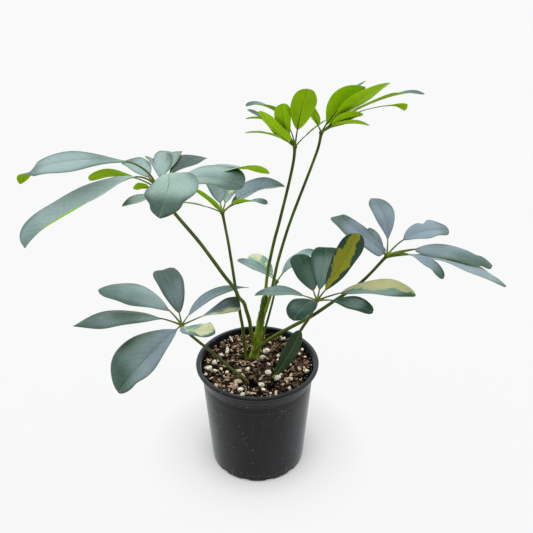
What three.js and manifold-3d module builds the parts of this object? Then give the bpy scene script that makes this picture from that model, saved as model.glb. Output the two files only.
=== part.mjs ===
// A potted umbrella plant: nine compound leaves on thin green stems, standing in soil in a black nursery pot.
// Millimetres, +Z up. The origin is the centre of the pot's underside, on the surface the pot stands on.
import * as THREE from "three";
import { mergeVertices } from "three/addons/utils/BufferGeometryUtils.js";
import Module from "manifold-3d";

// Pot
const POT_HEIGHT = 115;
const RIM_RADIUS = 59.5; // outside the rolled lip
const BASE_RADIUS = 46.4;
const POT_WALL = 1.5;
const LIP_HEIGHT = 3;
const LIP_WIDTH = 4.4; // flat top of the lip
const LIP_OVERHANG = 3.2; // from the wall just under the lip out to its rim
const COLLAR_HEIGHT = 16; // from the top of the lip down to the step in the wall
const COLLAR_TAPER = 2.6; // radius lost down the collar
const COLLAR_STEP = 0.35;
const BASE_THICKNESS = 4.5;
const POT_SEGMENTS = 40;
const FOOT_NOTCHES = 12; // drainage notches round the bottom edge
const NOTCH = { width: 8, depth: 2.4, height: 3.2 };

// Soil
const SOIL_LEVEL = 109.5;
const SOIL_RINGS = 4;
const SOIL_DIP = { x: -4, y: -30, radius: 4, depth: 3.5 }; // the hollow beside the front stem
const CHIPS = 24;
const CHIP_SIZE = [7, 3.4, 2.2];
const GRAINS = 14;
const GRAIN_RADIUS = 2.1;
const STEM_CLEARANCE = 7; // lumps stay this far from a stem's axis

// Leaves
const FIT_GAP = 0.45; // round a stem in its hole
const BLADE_THICKNESS = 0.8;
const LEAST_HALF_WIDTH = 0.7; // of a blade, at its two ends
const BLADE_STATIONS = [0.04, 0.2, 0.4, 0.6, 0.78, 0.92, 0.985];
const RIPPLE = 0.03; // edge ripple, as a share of the blade's width
const STALK_RADII = [0.95, 0.6];
const STALK_SIDES = 4;
const HUB_RADIUS = 2.3;
const STEM_SIDES = 6;
const STEM_STEPS = 10;
const MIDRIB_STEPS = 24;
const RISE_END = 0.3; // share of a leaflet's length where its extra rise has faded
const CURL_START = 0.7; // share of a leaflet's length where its tip starts to curl down

// Shape of a leaflet, where it has no values of its own. Angles in degrees.
// roll turns the blade about its midrib, twist adds to it from start to the tip, fold lifts both edges,
// bend turns the heading between the two ends, widest and tip set the outline, curl drops the tip,
// skew widens the left half, and rise lifts the stalk.
const LEAFLET_SHAPE = {
  roll: 0,
  twist: 0,
  start: 0.35,
  fold: 12,
  bend: 0,
  widest: 0.6,
  tip: 0.5,
  curl: 0,
  skew: 0,
  rise: 0,
};

// heading turns from +X towards +Y, tilt is the rise from hub to tip, arch the change of slope along it.
function leaflet(heading, tilt, arch, stalk, length, width, shape = {}) {
  return { heading, tilt, arch, stalk, length, width, ...LEAFLET_SHAPE, ...shape };
}

// The short main stem, and where its own leaves grow out of it.
const TRUNK = {
  route: [[-4.5, 10, 97], [-4, 10.5, 106], [-1, 13, 122], [3.5, 16, 151], [6, 16, 165], [8, 17, 178]],
  radii: [4.6, 3],
};
const TRUNK_LEAVES = [
  "leaf_upper_left",
  "leaf_top_left",
  "leaf_top_right",
  "leaf_right",
  "leaf_behind",
];

// Each compound leaf: its petiole's route up to the hub, and the leaflets that spread from the hub.
const LEAVES = {
  leaf_upper_left: {
    hub: [-72, -80, 332],
    petiole: [
      [-3, 13, 126], [-5, 10, 134], [-7, 2, 158], [-10, -5, 176], [-12, -11, 188], [-16, -14, 195],
      [-19, -18, 206], [-28, -24, 224], [-46, -42, 266], [-63, -64, 305],
    ],
    radii: [1.9, 1.3],
    leaflets: [
      leaflet(188, 2, 44, 30, 84, 29, {
        roll: -6, twist: 70, start: 0.85, fold: 5, tip: 0.8, curl: 40, skew: 0.15, rise: 57
      }),
      leaflet(218, -16, -5, 22, 95, 32, {
        roll: 16, fold: 18, widest: 0.65, tip: 0.4, curl: 35, skew: -0.5, rise: 85
      }),
      leaflet(160, -2, 60, 16, 44, 15, { roll: 42 }),
      leaflet(226, -5, 20, 10, 26, 13, { fold: 20, bend: -85 }),
      leaflet(200, 10, 20, 6, 12, 11, { roll: 50 }),
      leaflet(280, 7, 110, 24, 59, 38, {
        roll: 10, fold: 4, bend: -64, widest: 0.65, tip: 0.8, skew: 0.15
      }),
      leaflet(349, 7, 57, 17, 52, 39, { fold: 4, widest: 0.65, tip: 0.4, skew: 0.15 }),
      leaflet(11, 5, 36, 13, 74, 19, { twist: -60, start: 0.55, tip: 0.8, curl: 15 }),
      leaflet(54, 6, 50, 14, 44, 21, { tip: 0.8 }),
      leaflet(84, 6, 60, 10, 50, 21, { bend: 10 }),
      leaflet(101, 4, 60, 10, 41, 22, { fold: 30, bend: 55 }),
      leaflet(130, 14, 40, 12, 30, 20),
    ],
  },
  leaf_middle_left: {
    hub: [-30, 10, 268],
    petiole: [
      [-10.5, 8, 100], [-12, 6, 125], [-14, -1, 157], [-15, -4, 166], [-17, -5, 184],
      [-19, -4, 197], [-25, 3, 241],
    ],
    radii: [1.6, 1.2],
    leaflets: [
      leaflet(190, 46, 24, 3, 30, 7, { roll: 54, bend: -25, tip: 0.25 }),
      leaflet(185, 16, 30, 14, 30, 7, { roll: 20 }),
      leaflet(105, 25, 30, 10, 36, 18),
      leaflet(74, 25, 30, 10, 32, 14),
      leaflet(26, 12, 47, 18, 47, 29, { fold: 26, bend: -15, widest: 0.4, tip: 0.6 }),
      leaflet(342, 20, 64, 15, 32, 14, { roll: -35, twist: 50, start: 0.6, bend: 12, widest: 0.5 }),
      leaflet(48, 10, 30, 12, 34, 12),
    ],
  },
  leaf_top_left: {
    hub: [34, 45, 316],
    petiole: [
      [8, 17.5, 175], [8.5, 18.5, 189], [11, 21, 208], [16, 26, 232], [21, 30, 251], [33, 42, 304],
    ],
    radii: [1.5, 1.3],
    leaflets: [
      leaflet(207, 48, -20, 10, 42, 22, { roll: 20, bend: -15, widest: 0.5, skew: 0.1 }),
      leaflet(241, 62, -25, 9, 44, 15, { roll: 35, bend: 25, widest: 0.75 }),
      leaflet(283, 62, 10, 21, 50, 22, { roll: -12, bend: 8, skew: 0.1 }),
      leaflet(150, 32, 95, 14, 52, 15, { roll: 50, twist: -70, start: 0.55, bend: 40 }),
      leaflet(175, 38, 30, 14, 40, 12),
      leaflet(190, 33, 80, 14, 43, 12, { roll: 28 }),
      leaflet(185, 18, 50, 12, 36, 12, { roll: 20 }),
      leaflet(10, 40, 20, 12, 24, 10, { roll: -22 }),
    ],
  },
  leaf_top_right: {
    hub: [57, 45, 329],
    petiole: [
      [7.5, 13.5, 162], [10.2, 12.5, 172], [13, 14.5, 182], [15, 17, 191], [19, 22, 210],
      [25, 26, 232], [31, 30, 251], [49, 41, 299], [55, 44, 317],
    ],
    radii: [1.5, 1.2],
    leaflets: [
      leaflet(320, 42, 16, 9, 76, 26, { roll: -20, twist: 10, bend: -16, widest: 0.65, skew: 0.15 }),
      leaflet(343, 51, 28, 8, 50, 30, { roll: -50, tip: 0.85 }),
      leaflet(5, 22, 38, 20, 78, 16, { roll: -30, twist: 50, start: 0.7, tip: 0.8, curl: 20 }),
      leaflet(350, 22, 45, 26, 54, 9, {
        roll: -18, twist: -50, start: 0.8, widest: 0.94, tip: 0.2, curl: 20
      }),
      leaflet(325, 33, 25, 14, 33, 16, { roll: -35 }),
      leaflet(335, 17, 50, 10, 37, 15, { roll: -30 }),
      leaflet(215, 60, 10, 8, 28, 14, { roll: 10 }),
      leaflet(44, 31, 40, 20, 48, 8, { roll: -20 }),
    ],
  },
  leaf_right: {
    hub: [116, 0, 230],
    petiole: [
      [-2, 11.5, 116], [1.5, 8, 125], [14, 6, 137], [31, 4, 150], [50, 3, 163], [70, 2, 180],
      [95, 1, 202],
    ],
    radii: [2, 1.3],
    leaflets: [
      leaflet(136, 20, 24, 3, 58, 26, { bend: -22, widest: 0.5, tip: 0.2, skew: 0.35 }),
      leaflet(100, 34, 48, 13, 50, 22, { bend: 50, widest: 0.65, tip: 0.75 }),
      leaflet(18, 14, 50, 22, 44, 27, { roll: 7, bend: -45 }),
      leaflet(349, 0, 59, 26, 70, 28, { fold: -6, widest: 0.55, tip: 0.4 }),
      leaflet(337, -3.5, 50, 21, 88, 28, { roll: -13, fold: -4, skew: 0.3 }),
      leaflet(319, -1, 84, 22, 41, 14, { widest: 0.7 }),
      leaflet(106, 10, 20, 8, 35, 8),
    ],
  },
  leaf_lower_right: {
    hub: [53, -30, 202],
    petiole: [
      [13, -8, 100], [16, -9, 106], [31, -10, 138], [42, -17, 165], [47, -24, 180],
    ],
    radii: [1.6, 1.3],
    leaflets: [
      leaflet(165, -3, 45, 12, 46, 18, { roll: 4 }),
      leaflet(110, 25, 20, 10, 42, 24),
      leaflet(78, 27, 30, 10, 48, 26, { bend: 15, widest: 0.72, tip: 0.35 }),
      leaflet(36, 49, 10, 12, 58, 28, { roll: -5, bend: 48 }),
      leaflet(357, 6, 45, 22, 66, 27),
      leaflet(330, 5, 40, 16, 38, 21),
      leaflet(240, 6, 60, 8, 38, 24),
    ],
  },
  leaf_lower_left: {
    hub: [-67, -30, 176],
    petiole: [
      [-8, -26.5, 101], [-9.8, -25.8, 109.5], [-25, -24.5, 124], [-43, -26, 145], [-60, -29, 165],
    ],
    radii: [1.5, 1.3],
    leaflets: [
      leaflet(168, 20, 56, 17, 69, 32, { fold: -6, bend: 44, tip: 0.6, skew: 0.15 }),
      leaflet(110, 17, 40, 12, 60, 26, { bend: 10, widest: 0.7, tip: 0.3 }),
      leaflet(188, 5, 46, 18, 79, 27, { fold: -8, bend: 15, widest: 0.55, tip: 1, skew: 0.1 }),
      leaflet(226, -25, 30, 6, 76, 45, { widest: 0.58, tip: 0.65, skew: -0.22 }),
      leaflet(43, 4.2, 50, 10, 74, 14, { bend: -32, widest: 0.45, tip: 1.3 }),
      leaflet(23, 10, 5, 18, 39, 15, {
        roll: 20, twist: 58, start: 0.5, bend: -6, widest: 0.85, tip: 0.2, skew: 0.1
      }),
      leaflet(326, 12, 20, 6, 38, 22, { bend: 100, widest: 0.72, tip: 0.3 }),
    ],
  },
  leaf_behind: {
    hub: [19, 48, 174.5],
    petiole: [
      [-2, 12.5, 112], [0, 15.5, 116], [3, 20, 120], [10, 28, 143], [15, 38, 159], [16, 41, 163],
      [16, 44, 168],
    ],
    radii: [1.3, 1],
    leaflets: [
      leaflet(160, 22, 30, 8, 37, 14),
      leaflet(132, 20, 30, 8, 34, 18),
      leaflet(55, 15, 30, 10, 36, 10),
      leaflet(38, 21, 50, 14, 40, 14),
    ],
  },
  leaf_young: {
    hub: [15.5, -22, 111.5],
    petiole: [
      [12.5, -21.5, 99],
    ],
    radii: [1.3, 1],
    leaflets: [
      leaflet(354, 66, -12, 2, 58, 15, { roll: 55, fold: 10 }),
    ],
  },
};

const COLOURS = {
  pot: 0x1d1e22,
  soil: 0x3a2517,
  stem: 0x4e6a1f,
  leaf: 0x5f7d6a,
  youngLeaf: 0x6f9a1a,
};

const wasm = await Module();
wasm.setup();
const radians = THREE.MathUtils.degToRad;

// Solids from plain lists of corners and triangles, and from three.js geometries.
function solidFrom(corners, triangles) {
  return new wasm.Manifold(
    new wasm.Mesh({
      numProp: 3,
      vertProperties: new Float32Array(corners),
      triVerts: new Uint32Array(triangles),
    }),
  );
}

function solidOf(geometry) {
  geometry.deleteAttribute("normal");
  geometry.deleteAttribute("uv");
  const merged = mergeVertices(geometry, 1e-4);
  const triangles = [];
  for (let i = 0; i < merged.index.count; i += 3) {
    const [a, b, c] = [0, 1, 2].map((k) => merged.index.getX(i + k));
    if (a !== b && b !== c && c !== a) {
      triangles.push(a, b, c);
    }
  }
  return solidFrom(merged.attributes.position.array, triangles);
}

function meshOf(name, solid, colour, roughness) {
  const { vertProperties, triVerts } = solid.getMesh();
  const geometry = new THREE.BufferGeometry();
  geometry.setAttribute("position", new THREE.BufferAttribute(vertProperties, 3));
  geometry.setIndex(new THREE.BufferAttribute(triVerts, 1));
  geometry.computeVertexNormals();
  const material = new THREE.MeshStandardMaterial({ color: colour, roughness, metalness: 0 });
  const mesh = new THREE.Mesh(geometry, material);
  mesh.name = name;
  return mesh;
}

// Even random numbers from 0 to 1, the same at each run.
function randomFrom(seed) {
  let state = seed;
  return () => {
    state = (state * 1664525 + 1013904223) % 4294967296;
    return state / 4294967296;
  };
}

// A tapering round rod along a list of points, closed at both ends.
function rod(points, radii, sides) {
  const corners = [];
  const triangles = [];
  const last = points.length - 1;
  let side = new THREE.Vector3(1, 0.3, 0);
  points.forEach((point, i) => {
    const along = points[Math.min(i + 1, last)].clone().sub(points[Math.max(i - 1, 0)]).normalize();
    side = side.clone().addScaledVector(along, -side.dot(along)).normalize();
    const other = along.clone().cross(side);
    const radius = THREE.MathUtils.lerp(radii[0], radii[1], i / last);
    for (let k = 0; k < sides; k++) {
      const turn = (2 * Math.PI * k) / sides;
      const corner = point
        .clone()
        .addScaledVector(side, radius * Math.cos(turn))
        .addScaledVector(other, radius * Math.sin(turn));
      corners.push(...corner.toArray());
    }
  });
  for (let i = 0; i < last; i++) {
    for (let k = 0; k < sides; k++) {
      const next = (k + 1) % sides;
      const [a, b, c, d] = [i * sides + k, i * sides + next, (i + 1) * sides + next, (i + 1) * sides + k];
      triangles.push(a, b, c, a, c, d);
    }
  }
  for (let k = 1; k < sides - 1; k++) {
    triangles.push(0, k + 1, k);
    triangles.push(last * sides, last * sides + k, last * sides + k + 1);
  }
  return solidFrom(corners, triangles);
}

function smoothRoute(route) {
  const points = route.map((point) => new THREE.Vector3(...point));
  return new THREE.CatmullRomCurve3(points, false, "centripetal").getSpacedPoints(STEM_STEPS);
}

function stemPoints(name) {
  const leaf = LEAVES[name];
  return smoothRoute([...leaf.petiole, leaf.hub]);
}

// The hole that a stem stands in: the stem itself, a little fatter and deeper.
function socket(points, radii) {
  const deeper = points[0].clone().sub(points[1]).setLength(FIT_GAP).add(points[0]);
  const fatter = radii.map((radius) => radius + FIT_GAP);
  return rod([deeper, ...points], fatter, STEM_SIDES);
}

const ramp = (s, start) => THREE.MathUtils.clamp((s - start) / (1 - start), 0, 1);

// Points along a leaflet from hub to tip, each with the directions across the blade and out of its top.
function midrib(hub, p) {
  const step = (p.stalk + p.length) / MIDRIB_STEPS;
  const stations = [];
  let point = new THREE.Vector3(...hub);
  let before = null;
  for (let i = 0; i <= MIDRIB_STEPS; i++) {
    const s = i / MIDRIB_STEPS;
    const lift = p.rise * Math.max(1 - s / RISE_END, 0) - p.curl * ramp(s, CURL_START) ** 2;
    const slope = radians(p.tilt + p.arch * (0.5 - s) + lift);
    const heading = radians(p.heading + p.bend * (s - 0.5));
    const level = new THREE.Vector3(-Math.sin(heading), Math.cos(heading), 0);
    const along = new THREE.Vector3(Math.cos(heading), Math.sin(heading), 0)
      .multiplyScalar(Math.cos(slope))
      .setZ(Math.sin(slope));
    if (before) {
      point = before.clone().add(along).setLength(step).add(point);
    }
    before = along;
    const across = level.applyAxisAngle(along, radians(p.roll + p.twist * ramp(s, p.start)));
    stations.push({ point, across, up: along.clone().cross(across) });
  }
  return stations;
}

function stationAt(stations, s) {
  const place = s * MIDRIB_STEPS;
  const i = Math.min(Math.floor(place), MIDRIB_STEPS - 1);
  const [a, b] = [stations[i], stations[i + 1]];
  const between = (key) => a[key].clone().lerp(b[key], place - i);
  return { point: between("point"), across: between("across"), up: between("up") };
}

// Half the blade's width at a share q of its length: narrow at the stalk, round towards the tip.
function halfWidth(q, p) {
  const base = (p.widest / (1 - p.widest)) * p.tip;
  const peak = p.widest ** base * (1 - p.widest) ** p.tip;
  return Math.max((q ** base * (1 - q) ** p.tip * p.width) / 2 / peak, LEAST_HALF_WIDTH);
}

// A thin blade: three points across each face at each station, split into triangles alike on both faces.
function bladeSolid(stations, p, phase) {
  const corners = [];
  const triangles = [];
  const fold = radians(p.fold);
  for (const q of BLADE_STATIONS) {
    const { point, across, up } = stationAt(stations, (p.stalk + q * p.length) / (p.stalk + p.length));
    const ripple = RIPPLE * p.width * Math.sin(9 * q + phase) * 4 * q * (1 - q);
    for (const face of [1, -1]) {
      for (const side of [-1, 0, 1]) {
        const reach = side * (1 + p.skew * side) * halfWidth(q, p);
        const lift = Math.abs(reach) * Math.sin(fold) + side * ripple + (face * BLADE_THICKNESS) / 2;
        const corner = point
          .clone()
          .addScaledVector(across, reach * Math.cos(fold))
          .addScaledVector(up, lift);
        corners.push(...corner.toArray());
      }
    }
  }
  const quad = (a, b, c, d) => triangles.push(a, b, c, a, c, d);
  const TOP = 0;
  const BOTTOM = 3;
  const ROW = 6;
  for (let row = 0; row < corners.length / 3 - ROW; row += ROW) {
    const next = row + ROW;
    for (const k of [0, 1]) {
      quad(row + k, next + k, next + k + 1, row + k + 1);
      triangles.push(row + BOTTOM + k, next + BOTTOM + k + 1, next + BOTTOM + k);
      triangles.push(row + BOTTOM + k, row + BOTTOM + k + 1, next + BOTTOM + k + 1);
    }
    quad(row + BOTTOM, next + BOTTOM, next + TOP, row + TOP);
    quad(next + BOTTOM + 2, row + BOTTOM + 2, row + TOP + 2, next + TOP + 2);
  }
  const tip = corners.length / 3 - ROW;
  for (const k of [0, 1]) {
    quad(BOTTOM + k + 1, BOTTOM + k, TOP + k, TOP + k + 1);
    quad(tip + BOTTOM + k, tip + BOTTOM + k + 1, tip + TOP + k + 1, tip + TOP + k);
  }
  return solidFrom(corners, triangles);
}

// The leaflet's own stalk, from the hub to a little way under its blade.
function stalkSolid(stations, p) {
  const total = p.stalk + p.length;
  const end = (p.stalk + 0.1 * p.length) / total;
  const points = [0, 0.5, 1].map((k) => stationAt(stations, k * end).point);
  return rod(points, STALK_RADII, STALK_SIDES);
}

// A whole leaf as one body: petiole, each leaflet on its stalk, and the hub where several meet.
function leafSolid(name) {
  const leaf = LEAVES[name];
  const pieces = [rod(stemPoints(name), leaf.radii, STEM_SIDES)];
  if (leaf.leaflets.length > 1) {
    pieces.push(solidOf(new THREE.IcosahedronGeometry(HUB_RADIUS, 0).translate(...leaf.hub)));
  }
  leaf.leaflets.forEach((p, i) => {
    const stations = midrib(leaf.hub, p);
    pieces.push(stalkSolid(stations, p), bladeSolid(stations, p, 2 * i));
  });
  return wasm.Manifold.union(pieces);
}

// The main stem, with a hole for each leaf that grows out of it.
function trunkSolid() {
  const points = smoothRoute(TRUNK.route);
  let trunk = rod(points, TRUNK.radii, STEM_SIDES);
  for (const name of TRUNK_LEAVES) {
    trunk = trunk.subtract(socket(stemPoints(name), LEAVES[name].radii));
  }
  return trunk;
}

// Pot: a turned shell with a rolled lip and a stepped collar, and notches round the foot.
const COLLAR_BOTTOM = POT_HEIGHT - COLLAR_HEIGHT;
const NECK_LEVEL = POT_HEIGHT - LIP_HEIGHT - 1.2;
const NECK_RADIUS = RIM_RADIUS - LIP_OVERHANG; // wall just under the lip
const WAIST_RADIUS = NECK_RADIUS - COLLAR_TAPER - COLLAR_STEP; // wall just under the step
const FLOOR_RADIUS = BASE_RADIUS - 2 * POT_WALL; // inside, on the pot's bottom

function potSolid() {
  const profile = [
    [0, 0],
    [BASE_RADIUS - 1.5, 0],
    [BASE_RADIUS, 1.5],
    [WAIST_RADIUS, COLLAR_BOTTOM],
    [WAIST_RADIUS + COLLAR_STEP, COLLAR_BOTTOM + 1],
    [NECK_RADIUS, NECK_LEVEL],
    [RIM_RADIUS - 0.6, POT_HEIGHT - LIP_HEIGHT],
    [RIM_RADIUS, POT_HEIGHT - LIP_HEIGHT / 2],
    [RIM_RADIUS - 1, POT_HEIGHT],
    [RIM_RADIUS - LIP_WIDTH, POT_HEIGHT],
    [NECK_RADIUS - POT_WALL, NECK_LEVEL],
    [WAIST_RADIUS - POT_WALL, COLLAR_BOTTOM],
    [FLOOR_RADIUS, BASE_THICKNESS],
    [0, BASE_THICKNESS],
  ];
  const outline = profile.map(([radius, z]) => new THREE.Vector2(radius, z));
  let pot = solidOf(new THREE.LatheGeometry(outline, POT_SEGMENTS).rotateX(Math.PI / 2));
  for (let i = 0; i < FOOT_NOTCHES; i++) {
    const notch = new THREE.BoxGeometry(2 * NOTCH.depth, NOTCH.width, 2 * NOTCH.height)
      .translate(BASE_RADIUS, 0, 0)
      .rotateZ((2 * Math.PI * (i + 0.5)) / FOOT_NOTCHES);
    pot = pot.subtract(solidOf(notch));
  }
  return pot;
}

// Soil: it fills the pot, rough on top, with lumps of bark and pale grains half sunk in it.
function soilHeight(x, y) {
  const away = Math.hypot(x - SOIL_DIP.x, y - SOIL_DIP.y) / SOIL_DIP.radius;
  const rough = 0.8 * Math.sin(0.19 * x + 1) * Math.cos(0.16 * y) + 0.5 * Math.sin(0.41 * x - 0.33 * y);
  return SOIL_LEVEL + rough - SOIL_DIP.depth * Math.exp(-away * away);
}

function soilSolid(stems) {
  const edge = (SOIL_LEVEL - 1.5 - COLLAR_BOTTOM) / (NECK_LEVEL - COLLAR_BOTTOM);
  const inset = POT_WALL + FIT_GAP;
  const mouth = THREE.MathUtils.lerp(WAIST_RADIUS, NECK_RADIUS, edge) - inset;
  const profile = [
    [0, BASE_THICKNESS + FIT_GAP],
    [FLOOR_RADIUS - FIT_GAP, BASE_THICKNESS + FIT_GAP],
    [WAIST_RADIUS - inset, COLLAR_BOTTOM],
    [mouth, SOIL_LEVEL],
  ];
  for (let ring = SOIL_RINGS; ring >= 0; ring--) {
    profile.push([((mouth - 1) * ring) / SOIL_RINGS, SOIL_LEVEL]);
  }
  const outline = profile.map(([radius, z]) => new THREE.Vector2(radius, z));
  const ground = new THREE.LatheGeometry(outline, POT_SEGMENTS / 2).rotateX(Math.PI / 2);
  const place = ground.attributes.position;
  for (let i = 0; i < place.count; i++) {
    if (place.getZ(i) > SOIL_LEVEL - 1) {
      place.setZ(i, soilHeight(place.getX(i), place.getY(i)));
    }
  }
  const pieces = [solidOf(ground), ...soilLumps(mouth, stems)];
  let soil = wasm.Manifold.union(pieces);
  for (const stem of stems) {
    soil = soil.subtract(socket(stem.points, stem.radii));
  }
  return soil;
}

function soilLumps(mouth, stems) {
  const random = randomFrom(7);
  const lumps = [];
  while (lumps.length < CHIPS + GRAINS) {
    const isChip = lumps.length < CHIPS;
    const reach = (mouth - 5) * Math.sqrt(random());
    const turn = 2 * Math.PI * random();
    const size = 0.75 + 0.5 * random();
    const [spin, lean] = [Math.PI * random(), 0.5 * (random() - 0.5)];
    const [x, y] = [reach * Math.cos(turn), reach * Math.sin(turn)];
    if (stems.some((stem) => Math.hypot(x - stem.points[0].x, y - stem.points[0].y) < STEM_CLEARANCE + 4)) {
      continue;
    }
    const shape = isChip
      ? new THREE.BoxGeometry(...CHIP_SIZE.map((side) => side * size))
      : new THREE.IcosahedronGeometry(GRAIN_RADIUS * size, 0);
    lumps.push(solidOf(shape.rotateX(lean).rotateZ(spin).translate(x, y, soilHeight(x, y))));
  }
  return lumps;
}

// Stems that stand in the soil, each in a hole of its own.
function soilStems() {
  const leaves = Object.keys(LEAVES).filter((name) => !TRUNK_LEAVES.includes(name));
  const stems = leaves.map((name) => ({ points: stemPoints(name), radii: LEAVES[name].radii }));
  stems.push({ points: smoothRoute(TRUNK.route), radii: TRUNK.radii });
  return stems;
}

const plant = new THREE.Group();
plant.add(meshOf("pot", potSolid(), COLOURS.pot, 0.5));
plant.add(meshOf("soil", soilSolid(soilStems()), COLOURS.soil, 0.95));
plant.add(meshOf("trunk", trunkSolid(), COLOURS.stem, 0.5));
for (const name of Object.keys(LEAVES)) {
  plant.add(meshOf(name, leafSolid(name), COLOURS.leaf, 0.4));
}

export default plant;
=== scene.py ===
import math
import random

import bmesh
import bpy
import numpy as np
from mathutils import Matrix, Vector, noise


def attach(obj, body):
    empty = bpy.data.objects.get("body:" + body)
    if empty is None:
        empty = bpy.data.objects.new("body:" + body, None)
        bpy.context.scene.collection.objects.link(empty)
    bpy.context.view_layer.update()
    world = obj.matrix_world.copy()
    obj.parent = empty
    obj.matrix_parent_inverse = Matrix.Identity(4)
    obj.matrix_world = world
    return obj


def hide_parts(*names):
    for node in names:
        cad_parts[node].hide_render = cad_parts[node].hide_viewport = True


# A potted umbrella plant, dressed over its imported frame. Lengths are millimetres and angles degrees,
# and a mesh becomes metres when it is made.
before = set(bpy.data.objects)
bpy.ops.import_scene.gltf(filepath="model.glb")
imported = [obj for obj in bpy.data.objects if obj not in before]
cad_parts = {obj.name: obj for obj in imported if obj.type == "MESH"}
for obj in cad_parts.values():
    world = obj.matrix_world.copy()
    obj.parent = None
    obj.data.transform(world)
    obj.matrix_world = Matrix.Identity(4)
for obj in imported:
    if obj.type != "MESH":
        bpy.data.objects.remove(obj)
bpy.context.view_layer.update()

MM = 0.001

# Pot: a thin plastic shell, wider at the top, with a rolled lip, a collar and a notched foot. The radius
# of the small flat face that closes it round its axis is POT_MIDDLE, and the soil's is SOIL_MIDDLE.
POT_HEIGHT = 115
RIM_RADIUS = 59.5
BASE_RADIUS = 46.4
POT_WALL = 1.5
LIP_HEIGHT = 3
LIP_WIDTH = 4.4
LIP_OVERHANG = 3.2
COLLAR_HEIGHT = 16
COLLAR_TAPER = 2.6
COLLAR_STEP = 0.35
BASE_THICKNESS = 4.5
FOOT_NOTCHES = 12
NOTCH_WIDTH = 8
NOTCH_DEPTH = 2.4
NOTCH_HEIGHT = 3.2
COLLAR_BOTTOM = POT_HEIGHT - COLLAR_HEIGHT
NECK_LEVEL = POT_HEIGHT - LIP_HEIGHT - 1.2
NECK_RADIUS = RIM_RADIUS - LIP_OVERHANG
WAIST_RADIUS = NECK_RADIUS - COLLAR_TAPER - COLLAR_STEP
FLOOR_RADIUS = BASE_RADIUS - 2 * POT_WALL
POT_MIDDLE = 0.3
SHARP_ANGLE = 38

# Soil: its level, and two dark hollows as (x, y, radius, depth).
SOIL_LEVEL = 109.5
SOIL_GAP = 0.35
HOLLOWS = [(-4, -30.5, 4.6, 9), (13.5, -35, 3.2, 6), (37, 9, 5, 3)]
SOIL_MIDDLE = 0.4
SOIL_SIDE_LEVELS = (104, 60)
# Lumps on top of the soil, as (height, layer of the noise, frequency).
SOIL_LUMPS = [(1.1, 3, 0.22), (0.9, 9, 0.6), (0.35, 20, 1.7)]
SOIL_RINGS = 64
SOIL_COLUMNS = 200

# Leaf blades and stems.
BLADE_THICKNESS = 0.5
MARGIN_THICKNESS = 0.16
LEAST_HALF_WIDTH = 0.25
RIPPLE = 0.03
# The relief of a blade of the usual width: it puffs up between its side veins, sinks along its midrib and
# wanders as a whole. Its margins droop by a share of its width.
USUAL_WIDTH = 30
PUFF_HEIGHT = 0.15
GROOVE_DEPTH = 0.4
GROOVE_REACH = 0.9
WANDER = 0.9
DROOP = 0.02
# Side veins leave the midrib this far apart, slant forward, bend, and start later on the left.
VEIN_SPACING = 6.5
VEIN_SLANT = 0.75
VEIN_BEND = 0.012
VEIN_STAGGER = 3.1
RISE_END = 0.3
CURL_START = 0.7
MIDRIB_STEPS = 96
STATION_LENGTH = 1.5
DENT_SPREAD = 0.07
BLADE_COLUMNS = np.array([0, 0.05, 0.12, 0.22, 0.36, 0.52, 0.68, 0.83, 0.94, 1])
STALK_RADII = (0.95, 0.6)
RIB_END_RADIUS = 0.12
HUB_RADIUS = 2.3
KNOB_SIZE = 0.92
PETIOLE_STEPS = 70
TRUNK_STEPS = 90
STEM_SIDES = 16
TRUNK_SIDES = 28
FIBRE_SIDES = 5
STALK_SIDES = 8

# What a leaflet has where it says nothing else. roll and twist turn its blade about its midrib, twist
# from start on, and fold lifts both halves. bend turns its heading, rise lifts its stalk, and curl drops
# its tip. widest and tip set the outline, skew widens its left half, and wave, dents (side, place, depth)
# and notch cut it. stout thickens its stalk, and dark paints shade on its blade, darkening it and taking
# its painted sheen off; below 0, dark paints light on it instead.
LEAFLET_SHAPE = dict(roll=0, twist=0, start=0.35, fold=12, bend=0, rise=0, curl=0, widest=0.6, tip=0.5)
LEAFLET_LOOK = dict(skew=0, wave=0.03, dents=(), notch=0, stout=1, dark=0, splash=None)


def leaflet(heading, tilt, arch, stalk, length, width, **changes):
    """One leaflet: its course out of the hub, the size of its blade, and what sets it apart."""
    course = dict(heading=heading, tilt=tilt, arch=arch, stalk=stalk, length=length, width=width)
    return course | LEAFLET_SHAPE | LEAFLET_LOOK | changes


def compound(hub, radii, petiole, *leaflets):
    """A compound leaf: its hub, the end radii and the route of its petiole, and its leaflets."""
    return dict(hub=hub, radii=radii, petiole=petiole, leaflets=leaflets)


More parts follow.
